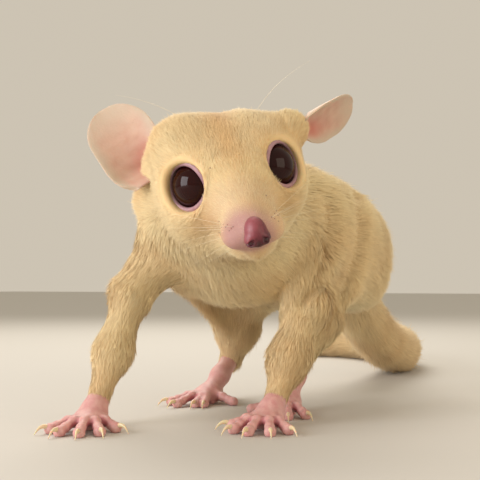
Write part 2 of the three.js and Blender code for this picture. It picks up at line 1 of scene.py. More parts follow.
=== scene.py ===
import math
import bpy
import numpy as np
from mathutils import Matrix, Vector


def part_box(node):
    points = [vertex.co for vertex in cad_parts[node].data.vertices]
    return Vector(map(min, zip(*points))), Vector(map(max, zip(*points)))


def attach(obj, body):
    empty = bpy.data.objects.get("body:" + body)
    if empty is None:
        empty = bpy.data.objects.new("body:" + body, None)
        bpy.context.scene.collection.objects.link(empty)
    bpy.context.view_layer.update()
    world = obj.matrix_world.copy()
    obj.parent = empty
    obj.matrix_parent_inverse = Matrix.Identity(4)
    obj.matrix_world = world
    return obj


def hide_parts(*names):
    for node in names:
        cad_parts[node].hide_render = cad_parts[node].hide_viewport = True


# A pale sugar glider, life size, standing on a studio floor.
# Shapes are worked out in millimetres in a frame that looks along +Y, then turned into the frame's metres.

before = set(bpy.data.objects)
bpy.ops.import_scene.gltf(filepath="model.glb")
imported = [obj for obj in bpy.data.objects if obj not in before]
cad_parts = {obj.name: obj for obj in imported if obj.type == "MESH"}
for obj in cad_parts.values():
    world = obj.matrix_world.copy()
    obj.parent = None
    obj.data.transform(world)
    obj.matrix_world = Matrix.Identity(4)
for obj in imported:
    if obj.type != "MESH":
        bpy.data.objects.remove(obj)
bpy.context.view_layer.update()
scene = bpy.context.scene
drawSeed = 20
random = np.random.default_rng(drawSeed)
millimetre = 0.001  # in metres, which the frame uses
print("frame loaded")

measured = {
    "turn": 30,  # degrees from the measured frame to the animal's own
    "between": (-17.1, -42, 55.4),  # midway between the two visible eyes
    "forward": (0.148, -0.925, -0.338),  # the way the face looks
    "left": (0.958, 0.139, 0.269),
    "eyeSide": 11.9,  # from the head's midline to the front of each eye
    "eyeRadius": 5.4,
    "eyeProud": 0.4,  # that the front of each eye stands past that place
    "eyeSpread": 47,  # degrees outward
    "eyeRise": 12,  # degrees upward
}


def unit(v):
    v = np.asarray(v, float)
    return v / max(np.linalg.norm(v), 1e-9)


def lengths(v):
    return np.linalg.norm(v, axis=-1)


def units(v):
    return v / np.maximum(lengths(v), 1e-9)[..., None]


def dots(a, b):
    return np.einsum("...j,...j->...", a, b)


def smooth(value, low, high):
    t = np.clip((value - low) / (high - low), 0, 1)
    return t * t * (3 - 2 * t)


forward = unit(measured["forward"])
leftward = np.array(measured["left"])
leftward = unit(leftward - forward * forward.dot(leftward))
upward = np.cross(forward, leftward)
headAxes = np.array([forward, leftward, upward])
between = np.array(measured["between"])


def onHead(u, v, w):
    return between + u * forward + v * leftward + w * upward


def headWay(u, v, w):
    return u * forward + v * leftward + w * upward


def eyeFrame(side):
    spread, rise = math.radians(measured["eyeSpread"]), math.radians(measured["eyeRise"])
    flat = math.cos(rise)
    out = headWay(flat * math.cos(spread), side * flat * math.sin(spread), math.sin(rise))
    centre = onHead(0, side * measured["eyeSide"], 0) - out * (measured["eyeRadius"] - measured["eyeProud"])
    # towards the lids' inner corner
    inner = unit(np.cross(np.cross(out, headWay(1, -side, -0.2)), out))
    return {"out": out, "centre": centre, "inner": inner, "top": unit(np.cross(out, inner)) * side}


eyes = {"left": eyeFrame(1), "right": eyeFrame(-1)}


def boxCentre(node):
    low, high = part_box(node)
    return (np.array(low) + np.array(high)) / 2


turnAngle = math.radians(measured["turn"])
turn = np.array([
    [math.cos(turnAngle), -math.sin(turnAngle), 0],
    [math.sin(turnAngle), math.cos(turnAngle), 0],
    [0, 0, 1],
])
eyeMiddle = (eyes["left"]["centre"] + eyes["right"]["centre"]) / 2
shift = (boxCentre("eye_left") + boxCentre("eye_right")) / 2 - turn @ (eyeMiddle * millimetre)


def toFrame(points):
    return np.asarray(points, float) * millimetre @ turn.T + shift


# Colours and the one function that adds a node

def linear(hexColour):
    values = [int(hexColour[i:i + 2], 16) / 255 for i in (1, 3, 5)]
    return [v / 12.92 if v <= 0.04045 else ((v + 0.055) / 1.055) ** 2.4 for v in values] + [1.0]


def addNode(tree, kind, settings):
    node = tree.nodes.new(kind)
    for key, value in settings.items():
        if isinstance(value, bpy.types.NodeSocket):
            tree.links.new(value, node.inputs[key])
        elif isinstance(key, str) and hasattr(node, key):
            setattr(node, key, value)
        else:  # text here is a hex colour
            node.inputs[key].default_value = linear(value) if isinstance(value, str) else value
    return node


def newMaterial(name):
    material = bpy.data.materials.new(name)
    material.use_nodes = True
    material.node_tree.nodes.clear()
    return material, material.node_tree


def plainMaterial(name, settings):
    material, tree = newMaterial(name)
    surface = addNode(tree, "ShaderNodeBsdfPrincipled", settings)
    addNode(tree, "ShaderNodeOutputMaterial", {"Surface": surface.outputs[0]})
    return material


def layColours(tree, colour, layers):  # each colour covers what is under it by its share
    for share, over in layers:
        settings = {"data_type": "RGBA", 0: share, 6: colour, 7: over}
        colour = addNode(tree, "ShaderNodeMix", settings).outputs[2]
    return colour


# Camera where the photograph was taken from: low, a little left of the animal's nose

cameraPlan = {
    "place": (-16, -236, 31.6),
    "pitch": 2.86,  # degrees upward
    "lens": 67.5,
    "sensor": 36,
    "nearest": 0.01,  # metres
}
cameraData = bpy.data.cameras.new("camera")
camera = bpy.data.objects.new("camera", cameraData)
scene.collection.objects.link(camera)
scene.camera = camera
cameraData.lens = cameraPlan["lens"]
cameraData.sensor_width = cameraPlan["sensor"]
cameraData.clip_start = cameraPlan["nearest"]
pitch = math.radians(cameraPlan["pitch"])
camera.location = toFrame(cameraPlan["place"])
cameraWay = turn @ np.array([0, math.cos(pitch), math.sin(pitch)])
camera.rotation_euler = Vector(cameraWay).to_track_quat("-Z", "Y").to_euler()


# Signed distances, negative inside, for many points at once

def ellipsoid(centre, radii, axes):
    centre, radii, axes = np.array(centre, float), np.array(radii, float), np.array(axes)

    def distance(p):
        local = (p - centre) @ axes.T
        near = lengths(local / radii)
        slope = lengths(local / radii ** 2)
        return near * (near - 1) / np.maximum(slope, 1e-6)
    return distance


def ball(centre, radius):
    return lambda p: lengths(p - centre) - radius


def cone(start, startRadius, end, endRadius):
    start = np.array(start, float)
    along = np.array(end, float) - start
    square = along.dot(along)

    def distance(p):
        t = np.clip((p - start) @ along / square, 0, 1)
        return lengths(p - start - t[:, None] * along) - (startRadius + (endRadius - startRadius) * t)
    return distance


def coneChain(places, radii):
    return [cone(a, r, b, s) for a, b, r, s in zip(places, places[1:], radii, radii[1:])]


def sheet(a, b, c, thickness):
    corners = np.array([a, b, c], float)
    sides = np.roll(corners, -1, axis=0) - corners
    facing = unit(np.cross(sides[0], corners[2] - corners[0]))

    def distance(p):
        away = p[:, None, :] - corners
        inside = np.all(np.cross(sides, away) @ facing >= 0, axis=1)
        t = np.clip(np.einsum("nij,ij->ni", away, sides) / dots(sides, sides), 0, 1)
        toSides = lengths(away - t[..., None] * sides).min(axis=1)
        return np.where(inside, np.abs(away[:, 0] @ facing), toSides) - thickness
    return distance


def join(first, second, softness):
    overlap = np.maximum(softness - np.abs(first - second), 0) / softness
    return np.minimum(first, second) - overlap * overlap * softness / 4


def carve(first, cutter, softness):
    return -join(-first, cutter, softness)


# One closed mesh of four-sided faces where a shape's distance is nought

def surfaceNet(shape, xs, ys, zs, rounds=2):
    axes = [np.asarray(a, np.float64) for a in (xs, ys, zs)]
    counts = [len(a) for a in axes]
    flat = np.array(np.meshgrid(axes[0], axes[1], indexing="ij")).reshape(2, -1).T
    values = np.empty(counts)
    for k, z in enumerate(axes[2]):
        values[:, :, k] = shape(np.column_stack([flat, np.full(len(flat), z)])).reshape(counts[:2])
    for axis in range(3):
        for end in (0, -1):
            face = np.moveaxis(values, axis, 0)[end]
            face[...] = np.maximum(face, 0.1)  # closes what would reach the grid's side
    cellCounts = [n - 1 for n in counts]
    total = cellCounts[0] * cellCounts[1] * cellCounts[2]
    sums, hits, quads = np.zeros((total, 3)), np.zeros(total), []
    for axis in range(3):
        s, u = (axis + 1) % 3, (axis + 2) % 3
        moved = np.moveaxis(values, (axis, s, u), (0, 1, 2))
        first, second = moved[:-1], moved[1:]
        n, a, b = np.nonzero((first < 0) != (second < 0))
        f, g = first[n, a, b], second[n, a, b]
        place = np.empty((len(n), 3))
        place[:, axis] = axes[axis][n] + f / (f - g) * (axes[axis][n + 1] - axes[axis][n])
        place[:, s], place[:, u] = axes[s][a], axes[u][b]
        around = []
        for back, down in ((0, 0), (1, 0), (1, 1), (0, 1)):
            index = np.empty((3, len(n)), int)
            index[axis], index[s], index[u] = n, a - back, b - down
            cell = np.ravel_multi_index(index, cellCounts)
            around.append(cell)
            hits += np.bincount(cell, minlength=total)
            for m in range(3):
                sums[:, m] += np.bincount(cell, weights=place[:, m], minlength=total)
        around = np.array(around).T
        around[f >= 0] = around[f >= 0][:, ::-1]
        quads.append(around)
    used = np.nonzero(hits)[0]
    number = np.full(total, -1)
    number[used] = np.arange(len(used))
    points = sums[used] / hits[used][:, None]
    quads = number[np.concatenate(quads)]
    for _ in range(rounds):
        points = 0.5 * (points + neighbourMean(points, quads))
        points = settle(shape, points)
    return points, quads, slopes(shape, points)


def neighbourMean(points, quads):
    ends = np.concatenate([quads[:, [n, (n + 1) % 4]] for n in range(4)])
    ends = np.concatenate([ends, ends[:, ::-1]])
    counts = np.bincount(ends[:, 0], minlength=len(points))
    means = [np.bincount(ends[:, 0], weights=points[ends[:, 1], m], minlength=len(points)) for m in range(3)]
    return np.array(means).T / np.maximum(counts, 1)[:, None]


def gradient(shape, points, tiny=0.03):
    here = shape(points)
    return here, np.array([shape(points + np.eye(3)[m] * tiny) - here for m in range(3)]).T / tiny


def slopes(shape, points):
    return units(gradient(shape, points)[1])


def settle(shape, points, longest=0.4):
    here, rise = gradient(shape, points)
    step = rise * (here / np.maximum(dots(rise, rise), 0.2))[:, None]
    return points - np.clip(step, -longest, longest)


def makeMesh(name, points, faces, material, normals=None, attributes=None):
    mesh = bpy.data.meshes.new(name)
    faces = np.asarray(faces)
    count, corners = faces.shape
    mesh.vertices.add(len(points))
    mesh.vertices.foreach_set("co", toFrame(points).astype(np.float32).ravel())
    mesh.loops.add(count * corners)
    mesh.loops.foreach_set("vertex_index", faces.astype(np.int32).ravel())
    mesh.polygons.add(count)
    mesh.polygons.foreach_set("loop_start", np.arange(0, count * corners, corners, dtype=np.int32))
    mesh.polygons.foreach_set("loop_total", np.full(count, corners, np.int32))
    mesh.polygons.foreach_set("use_smooth", np.full(count, True))
    mesh.update(calc_edges=True)
    mesh.validate()
    for key, values in (attributes or {}).items():
        layer = mesh.attributes.new(key, "FLOAT_COLOR", "POINT")
        layer.data.foreach_set("color", np.asarray(values, np.float32).ravel())
    if normals is not None:
        mesh.normals_split_custom_set_from_vertices(normals @ turn.T)
    mesh.materials.append(material)
    piece = bpy.data.objects.new(name, mesh)
    scene.collection.objects.link(piece)
    return piece


def dress(piece, slot, *nodes):
    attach(piece, "root")
    if nodes:
        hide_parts(*nodes)


# Body parts: shape, softness of the join, depth of the coat over the skin, and the hair that grows there

trunkAhead = unit((-0.62, -0.78, 0.05))
trunkAside = unit(np.cross((0, 0, 1), trunkAhead))
trunkAxes = np.array([trunkAhead, trunkAside, np.cross(trunkAhead, trunkAside)])
backward = -trunkAhead

bodyParts = []
earRoots = {"left": (-2.6, -32, 66.8), "right": (-37.2, -31, 56.5)}


def addPart(group, shape, softness, depth, hair, way=None):
    bodyParts.append(dict(group=group, shape=shape, softness=softness, depth=depth, hair=hair, way=way))


addPart("head", ellipsoid(onHead(-12, -0.5, -1.2), (16.5, 15.2, 12.3), headAxes), 5, 0.2, 2.1)
for side in (1, -1):
    addPart("head", ellipsoid(onHead(-7, side * 8.5, -6), (11, 7.5, 8.5), headAxes), 5, 0.4, 2.2)
addPart("head", cone(onHead(-12, 9, 2), 8.4, (-5, -32, 67), 4.8), 5, 0.5, 1.8)
addPart("head", cone(onHead(-12, -9, 3.4), 8.8, (-35.6, -27, 51.5), 5), 5, 0.6, 2.6)
addPart("head", cone(onHead(-12, -9, 3.4), 8.4, (-34.6, -26, 57.5), 3.4), 5, 0.6, 2)
addPart("head", cone(onHead(2, 0, -4.2), 8.6, onHead(15.5, 0, -8.2), 3.9), 5, 0.25, 1.4)
for side in (1, -1):
    addPart("head", ellipsoid(onHead(12.6, side * 3.5, -9), (5, 3.3, 3.1), headAxes), 2, 0.12, 0.9)
addPart("head", cone(onHead(-3, 0, -12), 6.6, onHead(12.2, 0, -13), 2.7), 3, 0.3, 1.6)
for side in (1, -1):
    addPart("head", cone(onHead(-4, side * 5, -11.5), 5, onHead(8, side * 2, -12.8), 3), 3, 0.3, 1.8)
    addPart("head", ball(eyes["left" if side > 0 else "right"]["centre"], 7), 5, 0.6, 1.5)
addPart("neck", cone((-20, -27, 50), 14.5, (-17, -16, 44), 15.5), 6, 0.7, 3.6, (0.45, 0.8, -0.4))
addPart("neck", ellipsoid((-30, -22, 46), (9, 9, 9), trunkAxes), 6, 0.6, 3.4, (0.1, 0.6, -0.8))
addPart("trunk", ellipsoid((-17, -15, 41.5), (15, 15.5, 13.5), trunkAxes), 6, 0.9, 4.2, (0.5, 0.7, -0.5))
for centre, radii, hair, fall in (((-3, 1, 44.5), (22, 16.8, 19), 4.4, -0.25),
                                  ((7, 14.5, 44), (15, 14.6, 16.6), 4.4, -0.2),
                                  ((12.8, 27, 41.5), (15.5, 14.6, 16.6), 4.6, -0.4)):
    addPart("trunk", ellipsoid(centre, radii, trunkAxes), 8, 1, hair, backward + (0, 0, fall))

limbPlan = {
    "armLeft": [((-3, -13, 40), 8.5, 1.3), ((0, -19, 28), 6.4, 1.1), ((0, -20.5, 27), 5.8, 1.1),
                ((-4.5, -26.5, 15), 4.5, 0.8), ((-8, -31, 5.5), 2.8, 0.3)],
    "armRight": [((-33, -19, 40), 9, 1.3), ((-40.8, -23.5, 31), 5, 0.9), ((-41.3, -24.5, 29.5), 4.7, 0.8),
                 ((-45, -28.5, 16.5), 3.9, 0.7), ((-48, -32, 5.5), 2.7, 0.3)],
    "legLeft": [((16, 22, 33.5), 10, 1.4), ((8, 7, 34.5), 9.4, 1.4), ((7.5, 5, 34), 7.4, 1.3),
                ((4.5, 0, 23), 5.9, 1), ((1, -2.5, 15.5), 4.3, 0.5)],
    "legRight": [((4, 32, 33.5), 10, 1.4), ((-11.5, 11, 33), 8.8, 1.4), ((-12.5, 9, 32), 6.6, 1.2),
                 ((-16, 16, 20), 5.2, 1), ((-18.5, 19, 11), 3.7, 0.5)],
}
shortestLink = 3  # a shorter one is only a step in thickness
for group, chain in limbPlan.items():
    for (start, startRadius, startDepth), (end, endRadius, endDepth) in zip(chain, chain[1:]):
        depth = (startDepth + endDepth) / 2
        if np.linalg.norm(np.subtract(end, start)) > shortestLink:
            thigh = group.startswith("leg") and start == chain[0][0]
            way = backward + (0, 0, -0.5) if thigh else unit(np.subtract(end, start))
            addPart(group, cone(start, startRadius, end, endRadius), 5, depth, 1 + 2 * depth, way)
addPart("legLeft", sheet((0, -14, 36), (11, 15, 46), (-1, -8, 18.5), 3.2), 7, 1, 3.2, (-0.1, 0.35, -0.93))
addPart("legRight", sheet((-30, -11, 33), (-13, 17, 38), (-19, 14, 20), 2.8), 7, 1, 3.2, (-0.1, 0.5, -0.86))

tailPlan = {
    "places": [(17, 37, 37), (20.5, 52, 26), (31, 71, 13.5), (41, 95, 7.8), (45.5, 120, 7.6), (42, 144, 7.4),
               (31, 161, 7), (17, 167, 6.4), (1.5, 158, 5)],
    "radii": [9, 8.6, 8.4, 8.5, 8.6, 8.4, 8.2, 7.8, 4.8],
    "softness": 7,
    "depth": 2.6,
    "hair": 6.2,
    "steps": 18,
    "end": 0.95,  # share of the path that the tail itself fills, the rest being hair
}


def tailPoint(t):
    places = np.array(tailPlan["places"], float)
    spot = min(t * (len(places) - 1), len(places) - 1.001)
    n = int(spot)
    f = spot - n
    before = places[n - 1] if n > 0 else 2 * places[0] - places[1]
    after = places[n + 2] if n + 2 < len(places) else 2 * places[-1] - places[-2]
    a, b = places[n], places[n + 1]
    place = 0.5 * (2 * a + (b - before) * f + (2 * before - 5 * a + 4 * b - after) * f ** 2
                   + (3 * a - before - 3 * b + after) * f ** 3)
    return place, tailPlan["radii"][n] + (tailPlan["radii"][n + 1] - tailPlan["radii"][n]) * f


for step in range(tailPlan["steps"]):
    start, startRadius = tailPoint(step / tailPlan["steps"] * tailPlan["end"])
    end, endRadius = tailPoint((step + 1) / tailPlan["steps"] * tailPlan["end"])
    addPart("tail", cone(start, startRadius, end, endRadius), tailPlan["softness"], tailPlan["depth"],
            tailPlan["hair"], unit(end - start))


# The skin's own distance: all parts joined, drawn in by the depth of the coat, with eye sockets and mouth

mouthPlan = {
    "half": [(4.5, 5.6, -9.9), (8, 5.4, -11), (12.3, 5, -11.9), (15.6, 2.8, -12.2), (16.9, 0, -11.9)],
    "radius": 0.42,
    "softness": 0.5,
}
mouthLine = mouthPlan["half"] + [(u, -v, w) for u, v, w in mouthPlan["half"][-2::-1]]
mouthCuts = coneChain([onHead(*p) for p in mouthLine], [mouthPlan["radius"]] * len(mouthLine))

socketPlan = {
    "gap": 0.25, "gapSoftness": 0.4,  # clear space round the ball
    "near": (5.6, 0.9, 5.3), "far": (12, 1.5, 7),  # the opening's ends: outward, inward to the nose, radius
    "softness": 2,
    "reach": 34,  # from between the eyes, past which nothing is cut
}
socketCuts = []
for eye in eyes.values():
    seat = ball(eye["centre"], measured["eyeRadius"] + socketPlan["gap"])
    near, far = ((eye["centre"] + eye["out"] * out + eye["inner"] * inner, radius)
                 for out, inner, radius in (socketPlan["near"], socketPlan["far"]))
    socketCuts += [(seat, socketPlan["gapSoftness"]), (cone(*near, *far), socketPlan["softness"])]

# soft folds of loose skin behind the shoulder and along the flank
foldPlan = {
    "shoulder": [(4.7, -11.8, 51.6), (4.6, -13.6, 47.7), (5.7, -14, 41.5),
                 (4.6, -17.6, 37.2), (3, -22.3, 32.8), (-1.3, -26, 28.1)],
    "flank": [(14.4, 7.3, 56), (14.3, 2.4, 52.8), (14.1, -0.9, 48.6),
              (13, -3, 40.6), (11.5, -2.5, 32.9), (9.6, -3, 28.5)],
    "radii": {"shoulder": 1.1, "flank": 1.5},
    "softness": 3.6,
    "middle": (6, -8, 42), "reach": 34,  # past which nothing is cut
}
foldCuts = []
for fold, radius in foldPlan["radii"].items():
    foldCuts += coneChain(foldPlan[fold], [radius] * len(foldPlan[fold]))
floorGap = 0.4  # from the floor to the skin, which the coat under it fills


def partDistances(p):
    return np.array([part["shape"](p) for part in bodyParts])


def nearness(away):
    return (np.maximum(away, 0) + 1.2) ** -4.0


def partWeights(p):
    weights = nearness(partDistances(p))
    return weights / weights.sum(axis=0)


def skinShape(p):
    away = partDistances(p)
    weights = nearness(away)
    depth = np.array([part["depth"] for part in bodyParts]) @ weights / weights.sum(axis=0)
    whole = away[0]
    for part, distance in zip(bodyParts[1:], away[1:]):
        if part["group"] != "tail":
            whole = join(whole, distance, part["softness"])
    tail = away[[part["group"] == "tail" for part in bodyParts]].min(axis=0)
    whole = join(whole, tail, tailPlan["softness"]) + depth
    onFace = lengths(p - between) < socketPlan["reach"]
    if onFace.any():
        face, near = whole[onFace], p[onFace]
        for cut, softness in socketCuts + [(cut, mouthPlan["softness"]) for cut in mouthCuts]:
            face = carve(face, cut(near), softness)
        whole[onFace] = face
    onFlank = lengths(p - foldPlan["middle"]) < foldPlan["reach"]
    if onFlank.any():
        folds = np.min([cut(p[onFlank]) for cut in foldCuts], axis=0)
        whole[onFlank] = carve(whole[onFlank], folds, foldPlan["softness"])
    return np.maximum(whole, floorGap - p[:, 2])


def spacing(*stretches):
    marks = [stretches[0][0]]
    for start, end, cell in stretches:
        count = max(int(round((end - start) / cell)), 1)
        marks += list(start + (end - start) * (n + 1) / count for n in range(count))
    return np.array(marks)


# cells in mm: fine at the head and arms, broad at the tail
fine, middling, broad = ((0.6, 1, 1.5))
skinPoints, skinQuads, skinNormals = surfaceNet(
    skinShape,
    spacing((-60, -38, middling), (-38, 4, fine), (4, 58, middling)),
    spacing((-64, -24, fine), (-24, 48, middling), (48, 178, broad)),
    spacing((0, 36, middling), (36, 75, fine)),
)
print("skin", len(skinPoints), "points")


# Markings and painted shade, the same for the skin and the coat: tan (partly painted shade), gold, bare pink
# (partly painted shade) and pale

def markingsAndShade(p):
    local = (p - between) @ headAxes.T
    u, v, w = local.T
    aside = ((p - np.array((-3, 1, 44))) @ trunkAxes.T)[:, 1]
    headShare = 1 - smooth(lengths(local - (-8, 0, -4)), 17, 23)
    notHead = 1 - headShare
    # bare round the nose, thin on the pads behind it, where the faint wide ring is painted shade that darkens
    # the muzzle's sides
    noseGap = lengths((local - np.array((17.5, -1.6, -9))) / (1.4, 1, 1))
    # the second, faint wide ring is painted shade
    bare = np.maximum(1 - smooth(noseGap, 3.6, 9.4), 0.3 - 0.3 * smooth(noseGap, 9, 15))
    bare = bare * smooth(w, -14.5, -11.5)
    # gold on the crown's midline, at the ear roots, from the eyes to the nose, and down the back
    gold = 0.5 * np.exp(-(v / 3) ** 2) * smooth(w, 1, 7) * headShare
    for root in earRoots.values():
        gold = np.maximum(gold, 0.6 * np.exp(-(lengths(p - root + upward * 3) / 4) ** 2))
    gold = np.maximum(gold, 0.3 * np.exp(-((np.abs(v) - 9) / 3) ** 2 - ((w + 7) / 3) ** 2) * smooth(u, -2, 4))
    gold = np.maximum(gold, np.exp(-(aside / 5.5) ** 2) * smooth(p[:, 2], 50, 58) * notHead * 0.7)
    # tan on the forearms and tail and lightly on the head; tan low on the body is painted shade, darker
    # towards the bottom, and tan in the folds is painted shade in their creases
    forearms = smooth(p[:, 2], 34, 20) * (1 - smooth(p[:, 1], -22, -8)) * 0.55
    folds = np.min([cut(p) for cut in foldCuts], axis=0)
    tan = np.max([
        # painted shade: darker towards the bottom of the body
        smooth(p[:, 2], 66, 40) * notHead * 0.5,
        forearms,
        0.7 * smooth(p[:, 1], 38, 58),
        # painted shade in the folds' creases
        0.9 * (1 - smooth(folds, -0.5, 1.8)),
        headShare * (0.3 + 0.15 * smooth(w, 0, 8)),
    ], axis=0)
    # pale on the belly and the chin
    belly = smooth(p[:, 2], 40, 26) * smooth(np.abs(aside), 14, 6) * smooth(p[:, 1], 24, 12) * notHead
    pale = np.maximum(belly, smooth(w, -10, -16) * headShare * 0.5)
    return np.clip(np.column_stack([tan, gold, bare, pale]), 0, 1)


coatColours = {
    "cream": "#f3e2b4",
    # tan: the fur's own on the forearms, tail and head, and painted shade low on the body and in the folds
    "tan": "#dab886",
    "gold": "#d9a866",
    "pale": "#efdfb2",
    # bare: the pink skin round the nose, and painted shade in the faint ring on the muzzle's sides
    "bare": "#ad8083",
    # root: partly the fur's own colour, partly painted shade deep in the coat
    "root": "#d8a96e",
}


def coatColour(tree, coat):
    marks = addNode(tree, "ShaderNodeAttribute", {"attribute_name": "markingsAndShade"})
    parts = addNode(tree, "ShaderNodeSeparateColor", {"Color": marks.outputs["Color"]})
    place = addNode(tree, "ShaderNodeTexCoord", {})
    # soft patches about 9 mm across, as where fur lies in different ways
    patches = addNode(tree, "ShaderNodeTexNoise", {
        "Scale": 110.0, "Detail": 3.0, "Vector": place.outputs["Object"]})
    patchTan = addNode(tree, "ShaderNodeMapRange", {
        "From Min": 0.3, "From Max": 0.7, "To Min": -0.16, "To Max": 0.16, "Value": patches.outputs["Fac"]})
    tanShare = addNode(tree, "ShaderNodeMath", {
        "operation": "ADD", "use_clamp": True, 0: parts.outputs["Red"], 1: patchTan.outputs["Result"]})
    colour = layColours(tree, coatColours["cream"], [
        (tanShare.outputs[0], coatColours["tan"]),
        (parts.outputs["Green"], coatColours["gold"]),
        (marks.outputs["Alpha"], coatColours["pale"]),
    ])
    if coat:  # warm and darker at the blade's root, partly the fur's own colour and partly painted shade deep in the coat, and each blade lighter or darker by its own tint
        blade = addNode(tree, "ShaderNodeAttribute", {"attribute_name": "blade"})
        bladeParts = addNode(tree, "ShaderNodeSeparateColor", {"Color": blade.outputs["Color"]})
        rootShare = addNode(tree, "ShaderNodeMapRange", {
            "From Max": 0.5, "To Min": 0.32, "To Max": 0.0, "Value": bladeParts.outputs["Red"]})
        colour = layColours(tree, colour, [(rootShare.outputs["Result"], coatColours["root"])])
        tinted = addNode(tree, "ShaderNodeHueSaturation", {
            "Value": bladeParts.outputs["Green"], "Color": colour})
        colour = tinted.outputs["Color"]
    else:
        # the skin under the coat takes some root colour: partly painted shade under the hair
        colour = layColours(tree, colour, [(0.35, coatColours["root"])])
    bareShare = 0.4 if coat else 0.85
    bare = addNode(tree, "ShaderNodeMath", {"operation": "MULTIPLY", 0: parts.outputs["Blue"], 1: bareShare})
    return layColours(tree, colour, [(bare.outputs[0], coatColours["bare"])]), place


def furMaterial():
    # Soft marsupial fur, matt with a faint sheen; the tips are paler than the roots, partly the fur's own
    # colour and partly painted shade deep in the coat
    material, tree = newMaterial("soft cream fur")
    fur = addNode(tree, "ShaderNodeBsdfPrincipled", {
        "Base Color": coatColour(tree, True)[0], "Roughness": 0.72, "Specular IOR Level": 0.25, "IOR": 1.55,
        "Sheen Weight": 0.15, "Sheen Roughness": 0.5})
    addNode(tree, "ShaderNodeOutputMaterial", {"Surface": fur.outputs[0]})
    return material


def skinMaterial():
    # Skin under short fur: warm and matt, with a fine grain
    material, tree = newMaterial("skin under fur")
    colour, place = coatColour(tree, False)
    # grains about 0.55 mm across stand for single hairs, drawn coarse enough to show
    grain = addNode(tree, "ShaderNodeTexNoise", {
        "Scale": 1800.0, "Detail": 2.0, "Vector": place.outputs["Object"]})
    bump = addNode(tree, "ShaderNodeBump", {
        "Strength": 0.25, "Distance": 0.0002, "Height": grain.outputs["Fac"]})
    skin = addNode(tree, "ShaderNodeBsdfPrincipled", {
        "Base Color": colour, "Normal": bump.outputs["Normal"],
        "Roughness": 0.6, "Specular IOR Level": 0.3, "IOR": 1.4,
        "Subsurface Weight": 0.25, "Subsurface Scale": 0.001, "Subsurface Radius": (1.0, 0.5, 0.35)})
    addNode(tree, "ShaderNodeOutputMaterial", {"Surface": skin.outputs[0]})
    return material


furFinish = furMaterial()
skinFinish = skinMaterial()
skinPiece = makeMesh("skin", skinPoints, skinQuads, skinFinish, attributes={"markingsAndShade": markingsAndShade(skinPoints)})
fleshNodes = ["head", "jaw", "neck", "torso_front", "torso_rear"]
for side in ("left", "right"):
    fleshNodes += [f"{name}_{side}" for name in ("upper_arm", "forearm", "thigh", "shin", "membrane")]
fleshNodes += [f"tail_{n}" for n in range(1, 6)]
dress(skinPiece, "fur", *fleshNodes)
print("skin made")


# Coat: flat tapering blades that lie along the body, set over the whole skin

coatPlan = {
    "lengthSpread": 0.18,
    "straySideways": 0.14,
    "rollSpread": 0.45,
    "guards": {"share": 0.02, "length": 1.35, "lift": 1.3, "width": 0.6},  # the few long, thin hairs
    "sunk": 0.12,  # mm that a blade starts under the skin
    "eyeClear": 5.95, "lidReach": 8, "lidFacing": 0.55,  # mm from the ball's centre, and how far to its front
    "mouthClear": 0.15, "floorClear": 0.06,
    "tapers": {2: (0.85, 0.7), 3: (0.75, 1, 0.62)},  # a blade's width at each row but the tip
    "patch": 0.003,  # across, on the unwrap
    "mostTriangles": 190000,
    "quickShare": 0.3,
}
# For each group: blades to a square mm, their width in mm and degrees off the skin, the cell of its unwrap
# (low corner, width, height) and the line that the unwrap is wound round
arms = {"perSquareMm": 18, "width": 0.14, "lift": 12}
legs = {"perSquareMm": 15, "width": 0.16, "lift": 14}
groupPlan = {
    "head": {"perSquareMm": 24, "width": 0.12, "lift": 13,
             "cell": (0.01, 0.51, 0.48, 0.48), "line": (onHead(-26, 0, -3), onHead(20, 0, -8))},
    "neck": {"perSquareMm": 18, "width": 0.15, "lift": 16,
             "cell": (0.51, 0.51, 0.23, 0.48), "line": ((-20, -34, 56), (-15, -6, 36))},
    "trunk": {"perSquareMm": 16, "width": 0.165, "lift": 16,
              "cell": (0.01, 0.01, 0.48, 0.48), "line": ((-24, -26, 42), (22, 42, 40))},
    "armLeft": {**arms, "cell": (0.76, 0.01, 0.23, 0.23), "line": ((-3, -13, 40), (-8, -31, 4))},
    "armRight": {**arms, "cell": (0.76, 0.26, 0.23, 0.23), "line": ((-33, -19, 40), (-48, -32, 4))},
    "legLeft": {**legs, "cell": (0.76, 0.51, 0.23, 0.23), "line": ((14, 20, 42), (1, -3, 12))},
    "legRight": {**legs, "cell": (0.76, 0.76, 0.23, 0.23), "line": ((0, 28, 42), (-18.5, 19, 9))},
    "tail": {"perSquareMm": 14, "width": 0.19, "lift": 19, "cell": (0.51, 0.01, 0.23, 0.48)},
}
groupNames = list(groupPlan)
partGroup = np.array([groupNames.index(part["group"]) for part in bodyParts])
noseTip = onHead(21, 0, -8)


def alongTail(points, steps=240):
    path = np.array([tailPoint(n / steps)[0] for n in range(steps + 1)])
    near = np.concatenate([lengths(some[:, None, :] - path[None]).argmin(axis=1)
                           for some in np.array_split(points, 20)])
    return near / steps, units(np.gradient(path, axis=0))[near], points - path[near]


def unwrapPlace(points, group):
    x, y, width, height = groupPlan[group]["cell"]
    if group == "tail":
        along, way, away = alongTail(points)
        side = units(np.cross(way, (0, 0, 1)))
        angle = np.arctan2(dots(away, np.cross(side, way)), dots(away, side))
    else:
        start, end = (np.array(p, float) for p in groupPlan[group]["line"])
        way = unit(end - start)
        side = unit(np.cross(way, (0.3, 0.2, 1)))
        away = points - start
        along = np.clip(away @ way / np.linalg.norm(end - start), 0, 1)
        angle = np.arctan2(away @ np.cross(side, way), away @ side)
    return np.column_stack([x + width * (angle / (2 * math.pi) + 0.5), y + height * along])


